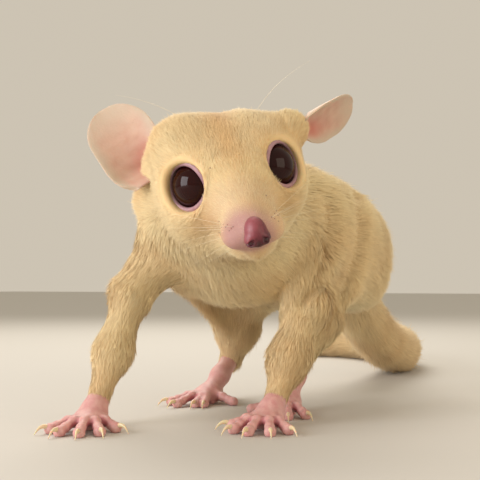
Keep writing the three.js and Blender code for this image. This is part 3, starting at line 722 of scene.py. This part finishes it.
def layOfCoat(points, normals, weights, group):
    ways = np.zeros_like(points)
    if group == "tail":  # the tail's own bend, so that no bands show where its lengths meet
        ways = alongTail(points)[1] * weights[partGroup == groupNames.index("tail")].sum(axis=0)[:, None]
    for part, weight in zip(bodyParts, weights):
        if group == "tail" and part["group"] == "tail":
            continue
        if part["way"] is not None:
            ways += weight[:, None] * unit(part["way"])
        else:
            ways += weight[:, None] * units(points - noseTip)
    ways -= normals * dots(ways, normals)[:, None]
    ways = units(ways)
    for eye in eyes.values():  # hairs turn aside so that none lies over the eye
        away = points - eye["centre"]
        near = 1 - smooth(lengths(away), 7.5, 11)
        outward = units(away - eye["out"] * dots(away, eye["out"])[:, None])
        towards = np.minimum(dots(ways, outward), 0)
        ways += (near * (0.6 - 1.3 * towards))[:, None] * outward
    ways -= normals * dots(ways, normals)[:, None]
    return units(ways)


def waves(points, size, seed):
    draw = np.random.default_rng(seed)
    total = np.zeros(len(points))
    for _ in range(5):
        way = unit(draw.normal(size=3)) * 2 * math.pi / (size * draw.uniform(0.7, 1.5))
        total += np.sin(points @ way + draw.uniform(0, 6.28))
    return total / 2.2


def plantRoots(quads, density):
    triangles = np.concatenate([quads[:, [0, 1, 2]], quads[:, [0, 2, 3]]])
    a, b, c = (skinPoints[triangles[:, n]] for n in range(3))
    area = lengths(np.cross(b - a, c - a)) / 2
    expected = area * density
    counts = np.floor(expected + random.random(len(expected))).astype(int)
    chosen = np.repeat(np.arange(len(triangles)), counts)
    r, s = random.random(len(chosen)), random.random(len(chosen))
    flip = r + s > 1
    r[flip], s[flip] = 1 - r[flip], 1 - s[flip]
    weights = np.column_stack([1 - r - s, r, s])[:, :, None]
    corners = triangles[chosen]
    roots = (skinPoints[corners] * weights).sum(axis=1)
    normals = units((skinNormals[corners] * weights).sum(axis=1))
    return roots, normals


def growBlades(name, roots, normals, group, segments):
    plan, guards = groupPlan[group], coatPlan["guards"]
    weights = partWeights(roots)
    hair = np.array([part["hair"] for part in bodyParts]) @ weights
    marks = markingsAndShade(roots)
    # no blade where the skin is bare, on the lids or in the mouth
    keep = marks[:, 2] < 0.75 + 0.4 * random.random(len(roots))
    for eye in eyes.values():
        away = roots - eye["centre"]
        reach = lengths(away)
        onLid = (reach < coatPlan["lidReach"]) & (dots(units(away), eye["out"]) > coatPlan["lidFacing"])
        keep &= ~((reach < coatPlan["eyeClear"]) | onLid)
    keep &= np.min([cut(roots) for cut in mouthCuts], axis=0) > coatPlan["mouthClear"]
    roots, normals, hair, marks = (values[keep] for values in (roots, normals, hair, marks))
    weights = weights[:, keep]
    count = len(roots)
    # each blade's lie, lift off the skin, length and width
    lay = layOfCoat(roots, normals, weights, group)
    stray = waves(roots, 9, 3) * 0.1 + random.normal(size=count) * coatPlan["straySideways"]
    lay = units(lay + np.cross(normals, lay) * stray[:, None])
    sideways = np.cross(normals, lay)
    lift = math.radians(plan["lift"]) * (1 + 0.1 * waves(roots, 6, 8) + 0.18 * random.normal(size=count))
    lift = np.clip(lift, 0.1, 0.9)
    shorter = 1 - 0.55 * marks[:, 2]
    for eye in eyes.values():
        shorter = shorter * (0.65 + 0.35 * smooth(lengths(roots - eye["centre"]), 6.5, 11))
    length = hair * shorter * (1 + coatPlan["lengthSpread"] * random.normal(size=count).clip(-2, 2))
    guard = random.random(count) < guards["share"]
    length = np.where(guard, length * guards["length"], length)
    lift = np.where(guard, lift * guards["lift"], lift)
    width = plan["width"] * (0.75 + 0.5 * random.random(count)) * np.clip(length / 2.2, 0.55, 1)
    width = np.where(guard, width * guards["width"], width)
    roll = (random.normal(size=count) * coatPlan["rollSpread"]).clip(-0.9, 0.9)
    across = units(sideways * np.cos(roll)[:, None] + normals * np.sin(roll)[:, None])
    # rows of two points from root to tip, bending down along the body
    rows, alongs = [], []
    spot = roots - normals * coatPlan["sunk"]
    for step in range(segments):
        t = step / segments
        half = across * (width * coatPlan["tapers"][segments][step] / 2)[:, None]
        rows += [spot - half, spot + half]
        alongs += [t, t]
        bend = lift * (1.35 - 0.95 * t)
        heading = lay * np.cos(bend)[:, None] + normals * np.sin(bend)[:, None]
        spot = spot + heading * (length / segments)[:, None]
    rows.append(spot)
    alongs.append(1.0)
    perBlade = len(rows)
    points = np.array(rows).transpose(1, 0, 2).reshape(-1, 3)
    points[:, 2] = np.maximum(points[:, 2], coatPlan["floorClear"])
    pattern = []
    for a in range(0, 2 * segments - 2, 2):
        pattern += [(a, a + 3, a + 1), (a, a + 2, a + 3)]
    pattern.append((perBlade - 3, perBlade - 1, perBlade - 2))
    faces = (np.arange(count)[:, None, None] * perBlade + np.array(pattern)[None]).reshape(-1, 3)
    tint = np.clip(1 + 0.03 * waves(roots, 5, 5) + 0.05 * random.normal(size=count), 0.8, 1.15)
    along = np.tile(np.array(alongs), count)
    blade = np.column_stack([along, np.repeat(tint, perBlade), np.zeros(len(along)), np.ones(len(along))])
    # shaded mostly as the skin below, so that the coat looks soft
    shading = units(normals + 0.3 * units(np.cross(lay, across)))
    piece = makeMesh(name, points, faces, furFinish, normals=np.repeat(shading, perBlade, axis=0),
                     attributes={"markingsAndShade": np.repeat(marks, perBlade, axis=0), "blade": blade})
    rootPlace = np.repeat(unwrapPlace(roots, group), perBlade, axis=0)
    edge = np.tile(np.array([-0.5, 0.5] * segments + [0]), count)
    bake = rootPlace + np.column_stack([edge, along - 0.5]) * coatPlan["patch"]
    layer = piece.data.uv_layers.new(name="OFBake")
    corner = np.empty(len(piece.data.loops), np.int32)
    piece.data.loops.foreach_get("vertex_index", corner)
    layer.data.foreach_set("uv", bake[corner].astype(np.float32).ravel())
    dress(piece, "fur")
    return len(faces)


quadMiddles = skinPoints[skinQuads].mean(axis=1)
quadGroups = partGroup[partDistances(quadMiddles).argmin(axis=0)]
share = 1
bladeFaces = 0
for number, group in enumerate(groupNames):
    segments = 3 if group == "tail" else 2  # the tail's long hair bends more
    density = groupPlan[group]["perSquareMm"] * share
    roots, normals = plantRoots(skinQuads[quadGroups == number], density)
    pieces = max(1, math.ceil(len(roots) * (2 * segments - 1) / coatPlan["mostTriangles"]))
    order = random.permutation(len(roots))
    for n, chosen in enumerate(np.array_split(order, pieces)):
        bladeFaces += growBlades(f"coat_{group}_{n + 1}", roots[chosen], normals[chosen], group, segments)
print("coat", bladeFaces, "triangles")


# Eyes: one glossy ball each, dark maroon, with the lids round it

def bareMaterial(name, colour, deep, roughness, scale, bumps, toneColours=()):
    # Hairless skin, slightly moist, with fine creases; the scale is blotches to a metre, as 900 for 1.1 mm
    material, tree = newMaterial(name)
    place = addNode(tree, "ShaderNodeTexCoord", {})
    blotches = addNode(tree, "ShaderNodeTexNoise", {
        "Scale": scale, "Detail": 4.0, "Vector": place.outputs["Object"]})
    deepShare = addNode(tree, "ShaderNodeMapRange", {
        "From Min": 0.35, "From Max": 0.7, "Value": blotches.outputs["Fac"]})
    base = layColours(tree, colour, [(deepShare.outputs["Result"], deep)])
    if toneColours:
        tone = addNode(tree, "ShaderNodeAttribute", {"attribute_name": "tone"})
        parts = addNode(tree, "ShaderNodeSeparateColor", {"Color": tone.outputs["Color"]})
        base = layColours(tree, base, zip(parts.outputs, toneColours))
    creases = addNode(tree, "ShaderNodeTexNoise", {
        "Scale": scale * 6, "Detail": 3.0, "Vector": place.outputs["Object"]})
    bump = addNode(tree, "ShaderNodeBump", {
        "Strength": bumps, "Distance": 0.00015, "Height": creases.outputs["Fac"]})
    skin = addNode(tree, "ShaderNodeBsdfPrincipled", {
        "Base Color": base, "Normal": bump.outputs["Normal"],
        "Roughness": roughness, "Specular IOR Level": 0.45,
        "Subsurface Weight": 0.18, "Subsurface Scale": 0.0012, "Subsurface Radius": (1.0, 0.4, 0.3)})
    addNode(tree, "ShaderNodeOutputMaterial", {"Surface": skin.outputs[0]})
    return material


def gridFaces(rows, columns, closed):
    span = columns if closed else columns - 1
    r, c = np.meshgrid(np.arange(rows - 1), np.arange(span), indexing="ij")
    a = (r * columns + c).ravel()
    b = (r * columns + (c + 1) % columns).ravel()
    return np.column_stack([a, b, b + columns, a + columns])


def capFaces(count, sides):  # closes the first and last ring on the two points that follow the rings
    around = np.arange(sides)
    after = (around + 1) % sides
    last = count - sides
    low = np.column_stack([np.full(sides, count), around, after])
    high = np.column_stack([np.full(sides, count + 1), last + after, last + around])
    return np.concatenate([low, high])


def tube(places, radii, sides, reference=(0, 0, 1), flat=1, blunt=0.5):
    places = np.asarray(places, float)
    ways = units(np.gradient(places, axis=0))
    up = np.array(reference, float)
    angle = np.arange(sides) / sides * 2 * math.pi
    rings = []
    for at, way, radius in zip(places, ways, radii):
        side = unit(np.cross(way, up))
        up = np.cross(side, way)
        rings.append(at + radius * (np.outer(np.cos(angle), side) + flat * np.outer(np.sin(angle), up)))
    ends = [places[0] - ways[0] * radii[0] * blunt, places[-1] + ways[-1] * radii[-1] * blunt]
    faces = gridFaces(len(places), sides, True)[:, ::-1]
    return np.concatenate(rings + [ends]), faces, capFaces(len(places) * sides, sides)


def sphere(centre, facing, radius, rows, columns):
    polar = np.linspace(0, math.pi, rows + 2)[1:-1]
    turnRound = np.arange(columns) / columns * 2 * math.pi
    polar, turnRound = (a.ravel() for a in np.meshgrid(polar, turnRound, indexing="ij"))
    side = unit(np.cross(facing, (0, 0, 1)))
    around = np.outer(np.cos(turnRound), side) + np.outer(np.sin(turnRound), np.cross(side, facing))
    points = centre + radius * (np.cos(polar)[:, None] * facing + np.sin(polar)[:, None] * around)
    poles = centre + radius * np.array([facing, -facing])
    faces = gridFaces(rows, columns, True)[:, ::-1]
    return np.concatenate([points, poles]), faces, capFaces(len(points), columns)


def makeMixed(name, chunks, material):
    points, faces, start = [], [], 0
    for some, quads, triangles in chunks:
        points.append(some)
        faces += [quads[:, [0, 1, 2]] + start, quads[:, [0, 2, 3]] + start, triangles + start]
        start += len(some)
    return makeMesh(name, np.concatenate(points), np.concatenate(faces), material)


eyePlan = {
    "rows": 40, "columns": 64,
    "lidAngle": 60,  # half of the lid opening, seen from the centre of the eye
    "cornerPull": 9, "narrowing": 3,  # degrees that the inner corner opens further, and top and bottom less
    "lidThickness": 0.62, "lidBreadth": 1.25, "cornerThickness": 0.7, "lidGap": 0.12,
    "lidSteps": 72, "lidSides": 14,
}
# Moist dark eye: a clear film over deep red-brown
eyeFinish = plainMaterial("moist maroon eye", {
    "Base Color": "#260706", "Roughness": 0.04, "IOR": 1.34, "Specular IOR Level": 0.4})
lidFinish = bareMaterial("lilac lid skin", "#b38d92", "#a17a84", 0.42, 900.0, 0.2,
                         ("#6d4859", "#6d4859", "#6d4859"))


def lidRing(eye):
    reach = measured["eyeRadius"] + eyePlan["lidGap"] + eyePlan["lidThickness"]
    steps, sides = eyePlan["lidSteps"], eyePlan["lidSides"]
    angle = np.arange(steps) / steps * 2 * math.pi
    corner = np.maximum(np.cos(angle), 0) ** 8
    opening = eyePlan["lidAngle"] + eyePlan["cornerPull"] * corner
    opening = np.radians(opening - eyePlan["narrowing"] * np.abs(np.sin(angle)))[:, None]
    sideways = np.outer(np.cos(angle), eye["inner"]) + np.outer(np.sin(angle), eye["top"])
    path = eye["centre"] + reach * (np.cos(opening) * eye["out"] + np.sin(opening) * sideways)
    ways = units(np.roll(path, -1, axis=0) - np.roll(path, 1, axis=0))
    side = units(np.cross(ways, units(path - eye["centre"])))
    up = np.cross(side, ways)
    turnRound = (np.arange(sides) / sides * 2 * math.pi)[None, :, None]
    thickness = eyePlan["lidThickness"] * (1 + eyePlan["cornerThickness"] * corner)
    points = path[:, None, :] + thickness[:, None, None] * (
        np.cos(turnRound) * side[:, None, :] * eyePlan["lidBreadth"] + np.sin(turnRound) * up[:, None, :])
    n, m = (a.ravel() for a in np.meshgrid(np.arange(steps), np.arange(sides), indexing="ij"))
    nextRing = (n + 1) % steps * sides
    a, b = n * sides + m, n * sides + (m + 1) % sides
    c, d = nextRing + (m + 1) % sides, nextRing + m
    dark = np.repeat(corner, sides)
    tone = np.column_stack([dark, np.zeros((len(dark), 2)), np.ones(len(dark))])
    return points.reshape(-1, 3), np.column_stack([a, b, c, d])[:, ::-1], tone


for name, eye in eyes.items():
    chunk = sphere(eye["centre"], eye["out"], measured["eyeRadius"], eyePlan["rows"], eyePlan["columns"])
    dress(makeMixed(f"eye_{name}_ball", [chunk], eyeFinish), "eye", f"eye_{name}")
    points, quads, tone = lidRing(eye)
    rim = makeMesh(f"eyelids_{name}_rim", points, quads, lidFinish, attributes={"tone": tone})
    dress(rim, "lid", f"eyelids_{name}")
print("eyes made")


# Nose: a moist pad with comma nostrils and a groove down the middle

nosePlan = {
    "centre": (17.9, 0, -7.8), "size": (2.6, 2.35, 3.2), "lean": -0.4,
    "wing": (18.7, 1.5, -9.1), "wingSize": (1.8, 1.25, 1.4),
    "nostril": ((17.4, 3, -9.3), (18.9, 2.35, -9.7), (20.1, 1.5, -9.3), (20.8, 1.25, -8.8)),
    "nostrilRadii": (0.18, 0.32, 0.5, 0.42),
    "groove": ((20.8, 0, -6), (21.1, 0, -8.6), (19.4, 0, -11.6)),
    "grooveRadii": (0.1, 0.45, 0.42),
    "reach": 4.6, "cell": 0.14,
}
noseUp = unit(headWay(nosePlan["lean"], 0, 0.92))
noseAxes = np.array([np.cross(leftward, noseUp), leftward, noseUp])
noseCentre = onHead(*nosePlan["centre"])
nosePad = ellipsoid(noseCentre, nosePlan["size"], noseAxes)
noseWings, nostrils = [], []
for side in (1, -1):
    wing, *nostril = (onHead(u, side * v, w) for u, v, w in (nosePlan["wing"], *nosePlan["nostril"]))
    noseWings.append(ellipsoid(wing, nosePlan["wingSize"], noseAxes))
    nostrils += coneChain(nostril, nosePlan["nostrilRadii"])
noseGroove = coneChain([onHead(*p) for p in nosePlan["groove"]], nosePlan["grooveRadii"])


def noseShape(p):
    whole = nosePad(p)
    for wing in noseWings:
        whole = join(whole, wing(p), 0.7)
    for cut in nostrils:
        whole = carve(whole, cut(p), 0.35)
    for cut in noseGroove:
        whole = carve(whole, cut(p), 0.45)
    return whole


noseSpans = [np.arange(c - nosePlan["reach"], c + nosePlan["reach"], nosePlan["cell"]) for c in noseCentre]
nosePoints, noseQuads, _ = surfaceNet(noseShape, *noseSpans, rounds=1)
# painted light: paler pink on the lit side of the top; painted shade: deep below, and dark in the nostrils
# and groove
local = (nosePoints - between) @ headAxes.T
# painted shade in the nostrils and the groove
hollowShade = np.clip(-np.min([cut(nosePoints) for cut in nostrils + noseGroove], axis=0) * 4 + 0.55, 0, 1)
# painted shade, darker below
below = smooth(local[:, 2] - 0.5 * local[:, 1], -7.4, -10.4)
# painted light, paler pink on the lit side of the top
pink = smooth(local[:, 2] - 1.1 * local[:, 1], -8.2, -5) * 0.6
noseLightAndShade = np.column_stack([pink, below * 0.85, hollowShade, np.ones(len(local))])
# tones: painted light on the lit side, painted shade below and painted shade in the hollows
noseFinish = bareMaterial("moist rose nose", "#7d3540", "#63242f", 0.3, 1500.0, 0.35,
                          ("#a85f66", "#431623", "#280a12"))
nose = makeMesh("nose_pad", nosePoints, noseQuads, noseFinish, attributes={"tone": noseLightAndShade})
dress(nose, "nose", "nose")
print("nose made")


# Ears: thin bare cups, deep at the root, with a pale rim

earPlan = {
    "thickness": 0.55, "rows": 44, "columns": 48, "lean": 1,
    "bowl": 4,  # depth of the cup at its root
    "roundFrom": 0.62, "roundLength": 0.385,  # shares of the length that the round tip takes
    "rootBend": 1.45, "tipBend": 0.22,  # radians that half of the sheet is curled by
    "left": {"root": (-4.4, -31.4, 67.8), "tip": (13.8, 12.2, 6.3), "open": (0.656, -0.31, -0.685),
             "skew": 0.6, "length": 23.6, "halfWidth": 7, "widths": (0.3, 0.45, 0.74, 0.92, 1, 1, 1)},
    "right": {"root": (-36, -31.2, 54.2), "tip": (-10.6, 2, 16.8), "open": (0.15, -1, 0),
              "skew": 0, "length": 22, "halfWidth": 7.7, "widths": (0.5, 0.82, 0.95, 1, 1, 1, 1)},
}
earFinish = bareMaterial("thin ear skin", "#d2b09b", "#c99f8c", 0.55, 300.0, 0.3,
                         ("#c26a5c", "#c8b9a4", "#cfae90"))


def earSheet(plan):
    along = unit(plan["tip"])
    opening = np.array(plan["open"], float)
    opening = unit(opening - along * along.dot(opening))
    side = np.cross(along, opening)
    rows, columns = earPlan["rows"], earPlan["columns"]
    high = np.linspace(0, 1, rows)[:, None] * np.ones(columns)
    wide = np.ones((rows, 1)) * np.sin(np.linspace(-math.pi / 2, math.pi / 2, columns))
    width = np.interp(high, np.linspace(0, earPlan["roundFrom"], 7), plan["widths"]) * plan["halfWidth"]
    tip = np.maximum(high - earPlan["roundFrom"], 0) / earPlan["roundLength"]
    width *= np.sqrt(np.clip(1 - tip ** 2, 0.004, 1))
    bend = earPlan["rootBend"] + (earPlan["tipBend"] - earPlan["rootBend"]) * np.sqrt(high)
    radius = width / np.sin(bend)
    hump = 1 - wide ** 2
    ripples = 0.05 * np.sin(high * 46) * smooth(high, 0.15, 0.3) * smooth(-high, -0.85, -0.6) * hump
    dip = ripples + earPlan["bowl"] * (1 - smooth(high, 0, 0.24)) * hump
    deep = radius * (1 - np.cos(wide * bend)) - earPlan["lean"] * high ** 2 + dip
    reach = plan["length"] * high + plan["skew"] * wide * width
    middle = (np.array(plan["root"], float) + along * reach[..., None]
              + side * (radius * np.sin(wide * bend))[..., None] + opening * deep[..., None])
    facing = opening * np.cos(wide * bend)[..., None] - side * np.sin(wide * bend)[..., None]
    margin = np.maximum(np.abs(wide), high)
    half = earPlan["thickness"] / 2 * (1 + 0.9 * (1 - high)) * np.sqrt(np.clip(1.04 - margin ** 8, 0.04, 1))
    inside = (middle + facing * half[..., None]).reshape(-1, 3)
    outside = (middle - facing * half[..., None]).reshape(-1, 3)
    # the two sheets and the rim between them
    total = rows * columns
    faces = gridFaces(rows, columns, False)
    edge = [(c, c + 1) for c in range(columns - 1)]
    edge += [(total - 1 - c, total - 2 - c) for c in range(columns - 1)]
    edge += [((r + 1) * columns, r * columns) for r in range(rows - 1)]
    edge += [(r * columns + columns - 1, (r + 1) * columns + columns - 1) for r in range(rows - 1)]
    edge = np.array(edge)
    rim = np.column_stack([edge[:, 1], edge[:, 0], edge[:, 0] + total, edge[:, 1] + total])
    quads = np.concatenate([faces, faces[:, ::-1] + total, rim])
    # red where the flesh is thick, pale towards the rim, warm on the back
    fleshy = np.exp(-((high - 0.25) / 0.2) ** 2 - ((wide - 0.35) / 0.5) ** 2).ravel()
    pale = smooth(margin, 0.55, 1.0).ravel()
    zero, one = np.zeros(total), np.ones(total)
    tone = np.concatenate([np.column_stack([fleshy * 0.8, pale * 0.9, zero, one]),
                           np.column_stack([zero, pale * 0.9, one * 0.6, one])])
    return np.concatenate([inside, outside]), quads, tone


for side in ("left", "right"):
    points, quads, tone = earSheet(earPlan[side])
    ear = makeMesh(f"ear_{side}_cup", points, quads, earFinish, attributes={"tone": tone})
    dress(ear, "ear", f"ear_{side}")
print("ears made")


# Paws: bare pink palms, digits with knuckles and pads, and a curved claw on each

pawPlan = {
    "hand_left": {"wrist": (-8, -31, 5.5), "palm": (-10, -35.2, 2.15), "way": (-0.3, -0.95, 0)},
    "hand_right": {"wrist": (-48, -32, 5.5), "palm": (-49, -36.2, 2.15), "way": (-0.1, -0.99, 0)},
    "foot_left": {"wrist": (0.5, -3, 15), "palm": (-4.5, -12, 2.45), "way": (-0.25, -0.97, 0)},
    "foot_right": {"wrist": (-18.5, 19, 11), "palm": (-24.5, 7.5, 2.4), "way": (-0.45, -0.89, 0)},
    "palms": {"hand": (4.2, 3.9, 2.3), "foot": (4.6, 3.6, 2.6)},
    "wristRadii": (2.55, 2.4, 2.2),
    "pads": (-0.55, 0, 0.55), "padHeight": 0.85,
    "cell": 0.3, "quickCell": 0.48, "reach": 14, "headroom": 3.5,
}
digitPlan = {  # angle, reach and knuckle height
    "hand": [(-58, 6, 2.2), (-26, 8.6, 2.4), (-4, 9.6, 2.5), (19, 9.2, 2.4), (43, 7.8, 2.2)],
    "foot": [(-78, 6.6, 2), (-22, 7.6, 2.2), (-9, 7.8, 2.2), (13, 10, 2.5), (36, 8.8, 2.3)],
    "radius": 1.08, "rootRadius": 1.3, "padHeight": 0.95,
}
clawPlan = {"length": 3.4, "radius": 0.5, "flat": 1.25, "arch": 0.7, "drop": 1.65, "sides": 10, "steps": 11}
# tones: painted shade between the digits, painted highlight on the knuckles, and a paler shank
pawFinish = bareMaterial("pink paw skin", "#d9aaa4", "#cc918f", 0.45, 600.0, 0.5,
                         ("#ad6168", "#e3c0b8", "#c99f8c"))
# Ivory horn: smooth, a little see-through
clawFinish = plainMaterial("ivory claw horn", {
    "Base Color": "#e6d3ac", "Roughness": 0.3, "IOR": 1.54,
    "Subsurface Weight": 0.3, "Subsurface Scale": 0.0006})


def digitShapes(palm, way, reach, knuckle):
    radius = digitPlan["radius"]
    root = palm + way * 2
    middle = root + way * reach * 0.45
    middle[2] = knuckle
    pad = root + way * reach
    pad[2] = digitPlan["padHeight"]
    last = middle * 0.4 + pad * 0.6
    last[2] = knuckle * 0.62 + 0.1
    shapes = [
        (cone(root, digitPlan["rootRadius"], middle, radius), 1.1),
        (ball(middle, radius * 1.12), 0.5),
        (cone(middle, radius * 0.95, last, radius * 0.9), 0.5),
        (ball(last, radius), 0.4),
        (cone(last, radius * 0.9, pad, radius * 0.98), 0.4),
        (ball(pad + (0, 0, 0.02), radius * 1.2), 0.4),
    ]
    return shapes, middle, pad


def clawTube(pad, way):
    start = pad + way * 0.45 + np.array((0, 0, 0.35))
    steps = np.linspace(0, 1, clawPlan["steps"])
    path = start + np.outer(steps * clawPlan["length"], way)
    path[:, 2] = start[2] + clawPlan["arch"] * np.sin(steps * 2.4) - clawPlan["drop"] * steps ** 2.4
    path[:, 2] = np.maximum(path[:, 2], 0.12)
    radii = clawPlan["radius"] * (1 - 0.86 * steps ** 1.3)
    return tube(path, radii, clawPlan["sides"], flat=clawPlan["flat"])


for name in ("hand_left", "hand_right", "foot_left", "foot_right"):
    plan = pawPlan[name]
    kind, sideName = name.split("_")
    straight = unit(plan["way"])
    across = np.cross((0, 0, 1), straight) * (1 if sideName == "left" else -1)
    palm, wrist = np.array(plan["palm"], float), np.array(plan["wrist"], float)
    shapes = [(ellipsoid(palm, pawPlan["palms"][kind], np.array([straight, across, (0, 0, 1)])), 1)]
    shapes += [(part, 2) for part in coneChain([wrist, (wrist + palm) / 2, palm], pawPlan["wristRadii"])]
    knuckles, claws = [], []
    for angle, reach, knuckle in digitPlan[kind]:
        way = straight * math.cos(math.radians(angle)) + across * math.sin(math.radians(angle))
        digit, middle, pad = digitShapes(palm, way, reach, knuckle)
        shapes += digit
        knuckles.append(middle)
        claws.append(clawTube(pad, way))
    for side in pawPlan["pads"]:
        at = palm + straight * 1.8 + across * side * 3.4
        shapes.append((ball(np.array((at[0], at[1], pawPlan["padHeight"])), 1.0), 0.4))

    def pawShape(p):
        whole = shapes[0][0](p)
        for shape, softness in shapes[1:]:
            whole = join(whole, shape(p), softness)
        return np.maximum(whole, 0.02 - p[:, 2])

    low = np.minimum(palm, wrist) - (pawPlan["reach"], pawPlan["reach"], 0)
    low[2] = -0.6
    high = np.maximum(palm, wrist) + (pawPlan["reach"], pawPlan["reach"], pawPlan["headroom"])
    spans = [np.arange(low[m], high[m], pawPlan["cell"]) for m in range(3)]
    points, quads, normals = surfaceNet(pawShape, *spans, rounds=1)
    # painted shade, darker red, between the digits; painted highlight, pale, on the knuckles; paler up the
    # shank
    toKnuckles = np.min([lengths(points - middle) for middle in knuckles], axis=0)
    shadeBetweenDigits = 1 - smooth(pawShape(points + normals * 0.9), 0.45, 0.85)
    # painted highlight on the knuckles' tops
    knuckleHighlight = 1 - smooth(toKnuckles, 0.6, 1.5)
    shank = smooth(points[:, 2], 6, 12)
    tone = np.column_stack([shadeBetweenDigits * 0.85, knuckleHighlight * 0.6, shank * 0.5, np.ones(len(points))])
    paw = makeMesh(f"{name}_skin", points, quads, pawFinish, attributes={"tone": tone})
    dress(paw, "bare_skin", name)
    for n, chunk in enumerate(claws):
        if kind == "hand" or n > 0:  # the first toe has no claw
            claw = makeMixed(f"claw_{name}_{n + 1}_horn", [chunk], clawFinish)
            dress(claw, "claw", f"claw_{name}_{n + 1}")
print("paws made")


# Whiskers: long pale bristles from the pads, brows and cheeks

whiskerPlan = {
    "rows": 5, "perRow": 5, "radius": 0.03, "sides": 5, "steps": 12,
    "speck": 0.14,  # radius of the dark spot at each root
    "moles": ((-22.3, -47.5, 56.1), (-10.6, -50.5, 50.1)), "moleSize": 1.4,
    "browRadius": 0.05, "browLength": 15,
    "brows": (((-11, -38, 72), (7.3, -2, 11.9), (0.25, 0, -0.15)),  # place, way and droop
              ((-29.5, -35.8, 69.2), (-10.3, -2, 6), (-0.1, 0, -0.2))),
}


def bristle(root, way, length, droop, radius):
    t = np.linspace(0, 1, whiskerPlan["steps"])
    path = root + np.outer(t * length, unit(way)) + np.outer(t ** 2 * length, droop)
    return tube(path, radius * (1 - 0.8 * t), whiskerPlan["sides"], reference=(0.1, 0.2, 1))


def speck(place, size=1):
    return sphere(place, forward, whiskerPlan["speck"] * size, 5, 8)


def onSkin(place):
    place = np.tile(place, (2, 1))
    for _ in range(3):
        place = settle(skinShape, place)
    return place[0]


bristles, follicles = [], []
for side in (1, -1):
    for row in range(whiskerPlan["rows"]):
        for n in range(whiskerPlan["perRow"]):
            ahead, aside, up = 15.6 - 1.7 * n - 0.3 * row, side * (4 + 0.7 * n), -6.4 - 1.1 * row - 0.1 * n
            root = onSkin(onHead(ahead, aside, up))
            follicles.append(speck(root))
            if (n + row) % 3 == 0:
                way = headWay(0.1 - 0.22 * n, side * 1.0, 0.35 - 0.2 * row)
                length = (8 + 2.6 * n) * random.uniform(0.8, 1.1)
                bristles.append(bristle(root, way, length, headWay(-0.35, 0, -0.12), whiskerPlan["radius"]))
follicles += [speck(onSkin(np.array(place)), whiskerPlan["moleSize"]) for place in whiskerPlan["moles"]]
for place, way, droop in whiskerPlan["brows"]:
    root = onSkin(np.array(place))
    bristles.append(bristle(root, way, whiskerPlan["browLength"], np.array(droop), whiskerPlan["browRadius"]))
whiskerRoots = bareMaterial("whisker roots", "#99706a", "#85605c", 0.6, 900.0, 0.1)
dress(makeMixed("follicles", follicles, whiskerRoots), "bare_skin")
# Stiff pale bristle with a soft shine
paleBristle = plainMaterial("pale bristle", {"Base Color": "#efe3c8", "Roughness": 0.45, "IOR": 1.5})
dress(makeMixed("whiskers", bristles, paleBristle), "claw")
print("whiskers made")


# Studio: pale floor, soft light from the photograph's side

studio = {
    "floorSize": 6.0,
    "floorColour": "#cdc9c2",
    "sky": "#f0e5d2",
    "skyStrength": 0.7,
    "aim": (-12, -20, 42),  # what the lights look at
    "lights": [  # place in the measured frame, size in metres, watts, colour
        ((-430, -260, 150), 0.3, 2, "#fdfcff"),
        ((300, -300, 160), 0.3, 0.5, "#ffefd8"),
        ((-60, 330, 420), 0.35, 1.6, "#fffaf2"),
    ],
}
floorMesh = bpy.data.meshes.new("floor")
reach = studio["floorSize"] / 2
floorCorners = [(x * reach, y * reach, 0) for x, y in ((-1, -1), (1, -1), (1, 1), (-1, 1))]
floorMesh.from_pydata(floorCorners, [], [(0, 1, 2, 3)])
# Matt paper, so that it holds a soft shadow
paper = plainMaterial("pale studio paper", {"Base Color": studio["floorColour"], "Roughness": 0.85})
floorMesh.materials.append(paper)
floor = bpy.data.objects.new("floor", floorMesh)
scene.collection.objects.link(floor)
aim = toFrame(studio["aim"])
for n, (place, size, watts, hexColour) in enumerate(studio["lights"]):
    light = bpy.data.lights.new(f"soft_light_{n + 1}", "AREA")
    light.size, light.energy, light.color = size, watts, linear(hexColour)[:3]
    lamp = bpy.data.objects.new(f"soft_light_{n + 1}", light)
    lamp.location = toFrame(place)
    lamp.rotation_euler = Vector(aim - toFrame(place)).to_track_quat("-Z", "Y").to_euler()
    scene.collection.objects.link(lamp)
world = bpy.data.worlds.new("studio")
scene.world = world
world.use_nodes = True
world.node_tree.nodes["Background"].inputs[0].default_value = linear(studio["sky"])
world.node_tree.nodes["Background"].inputs[1].default_value = studio["skyStrength"]
scene.view_settings.view_transform = "Standard"
print("studio made")
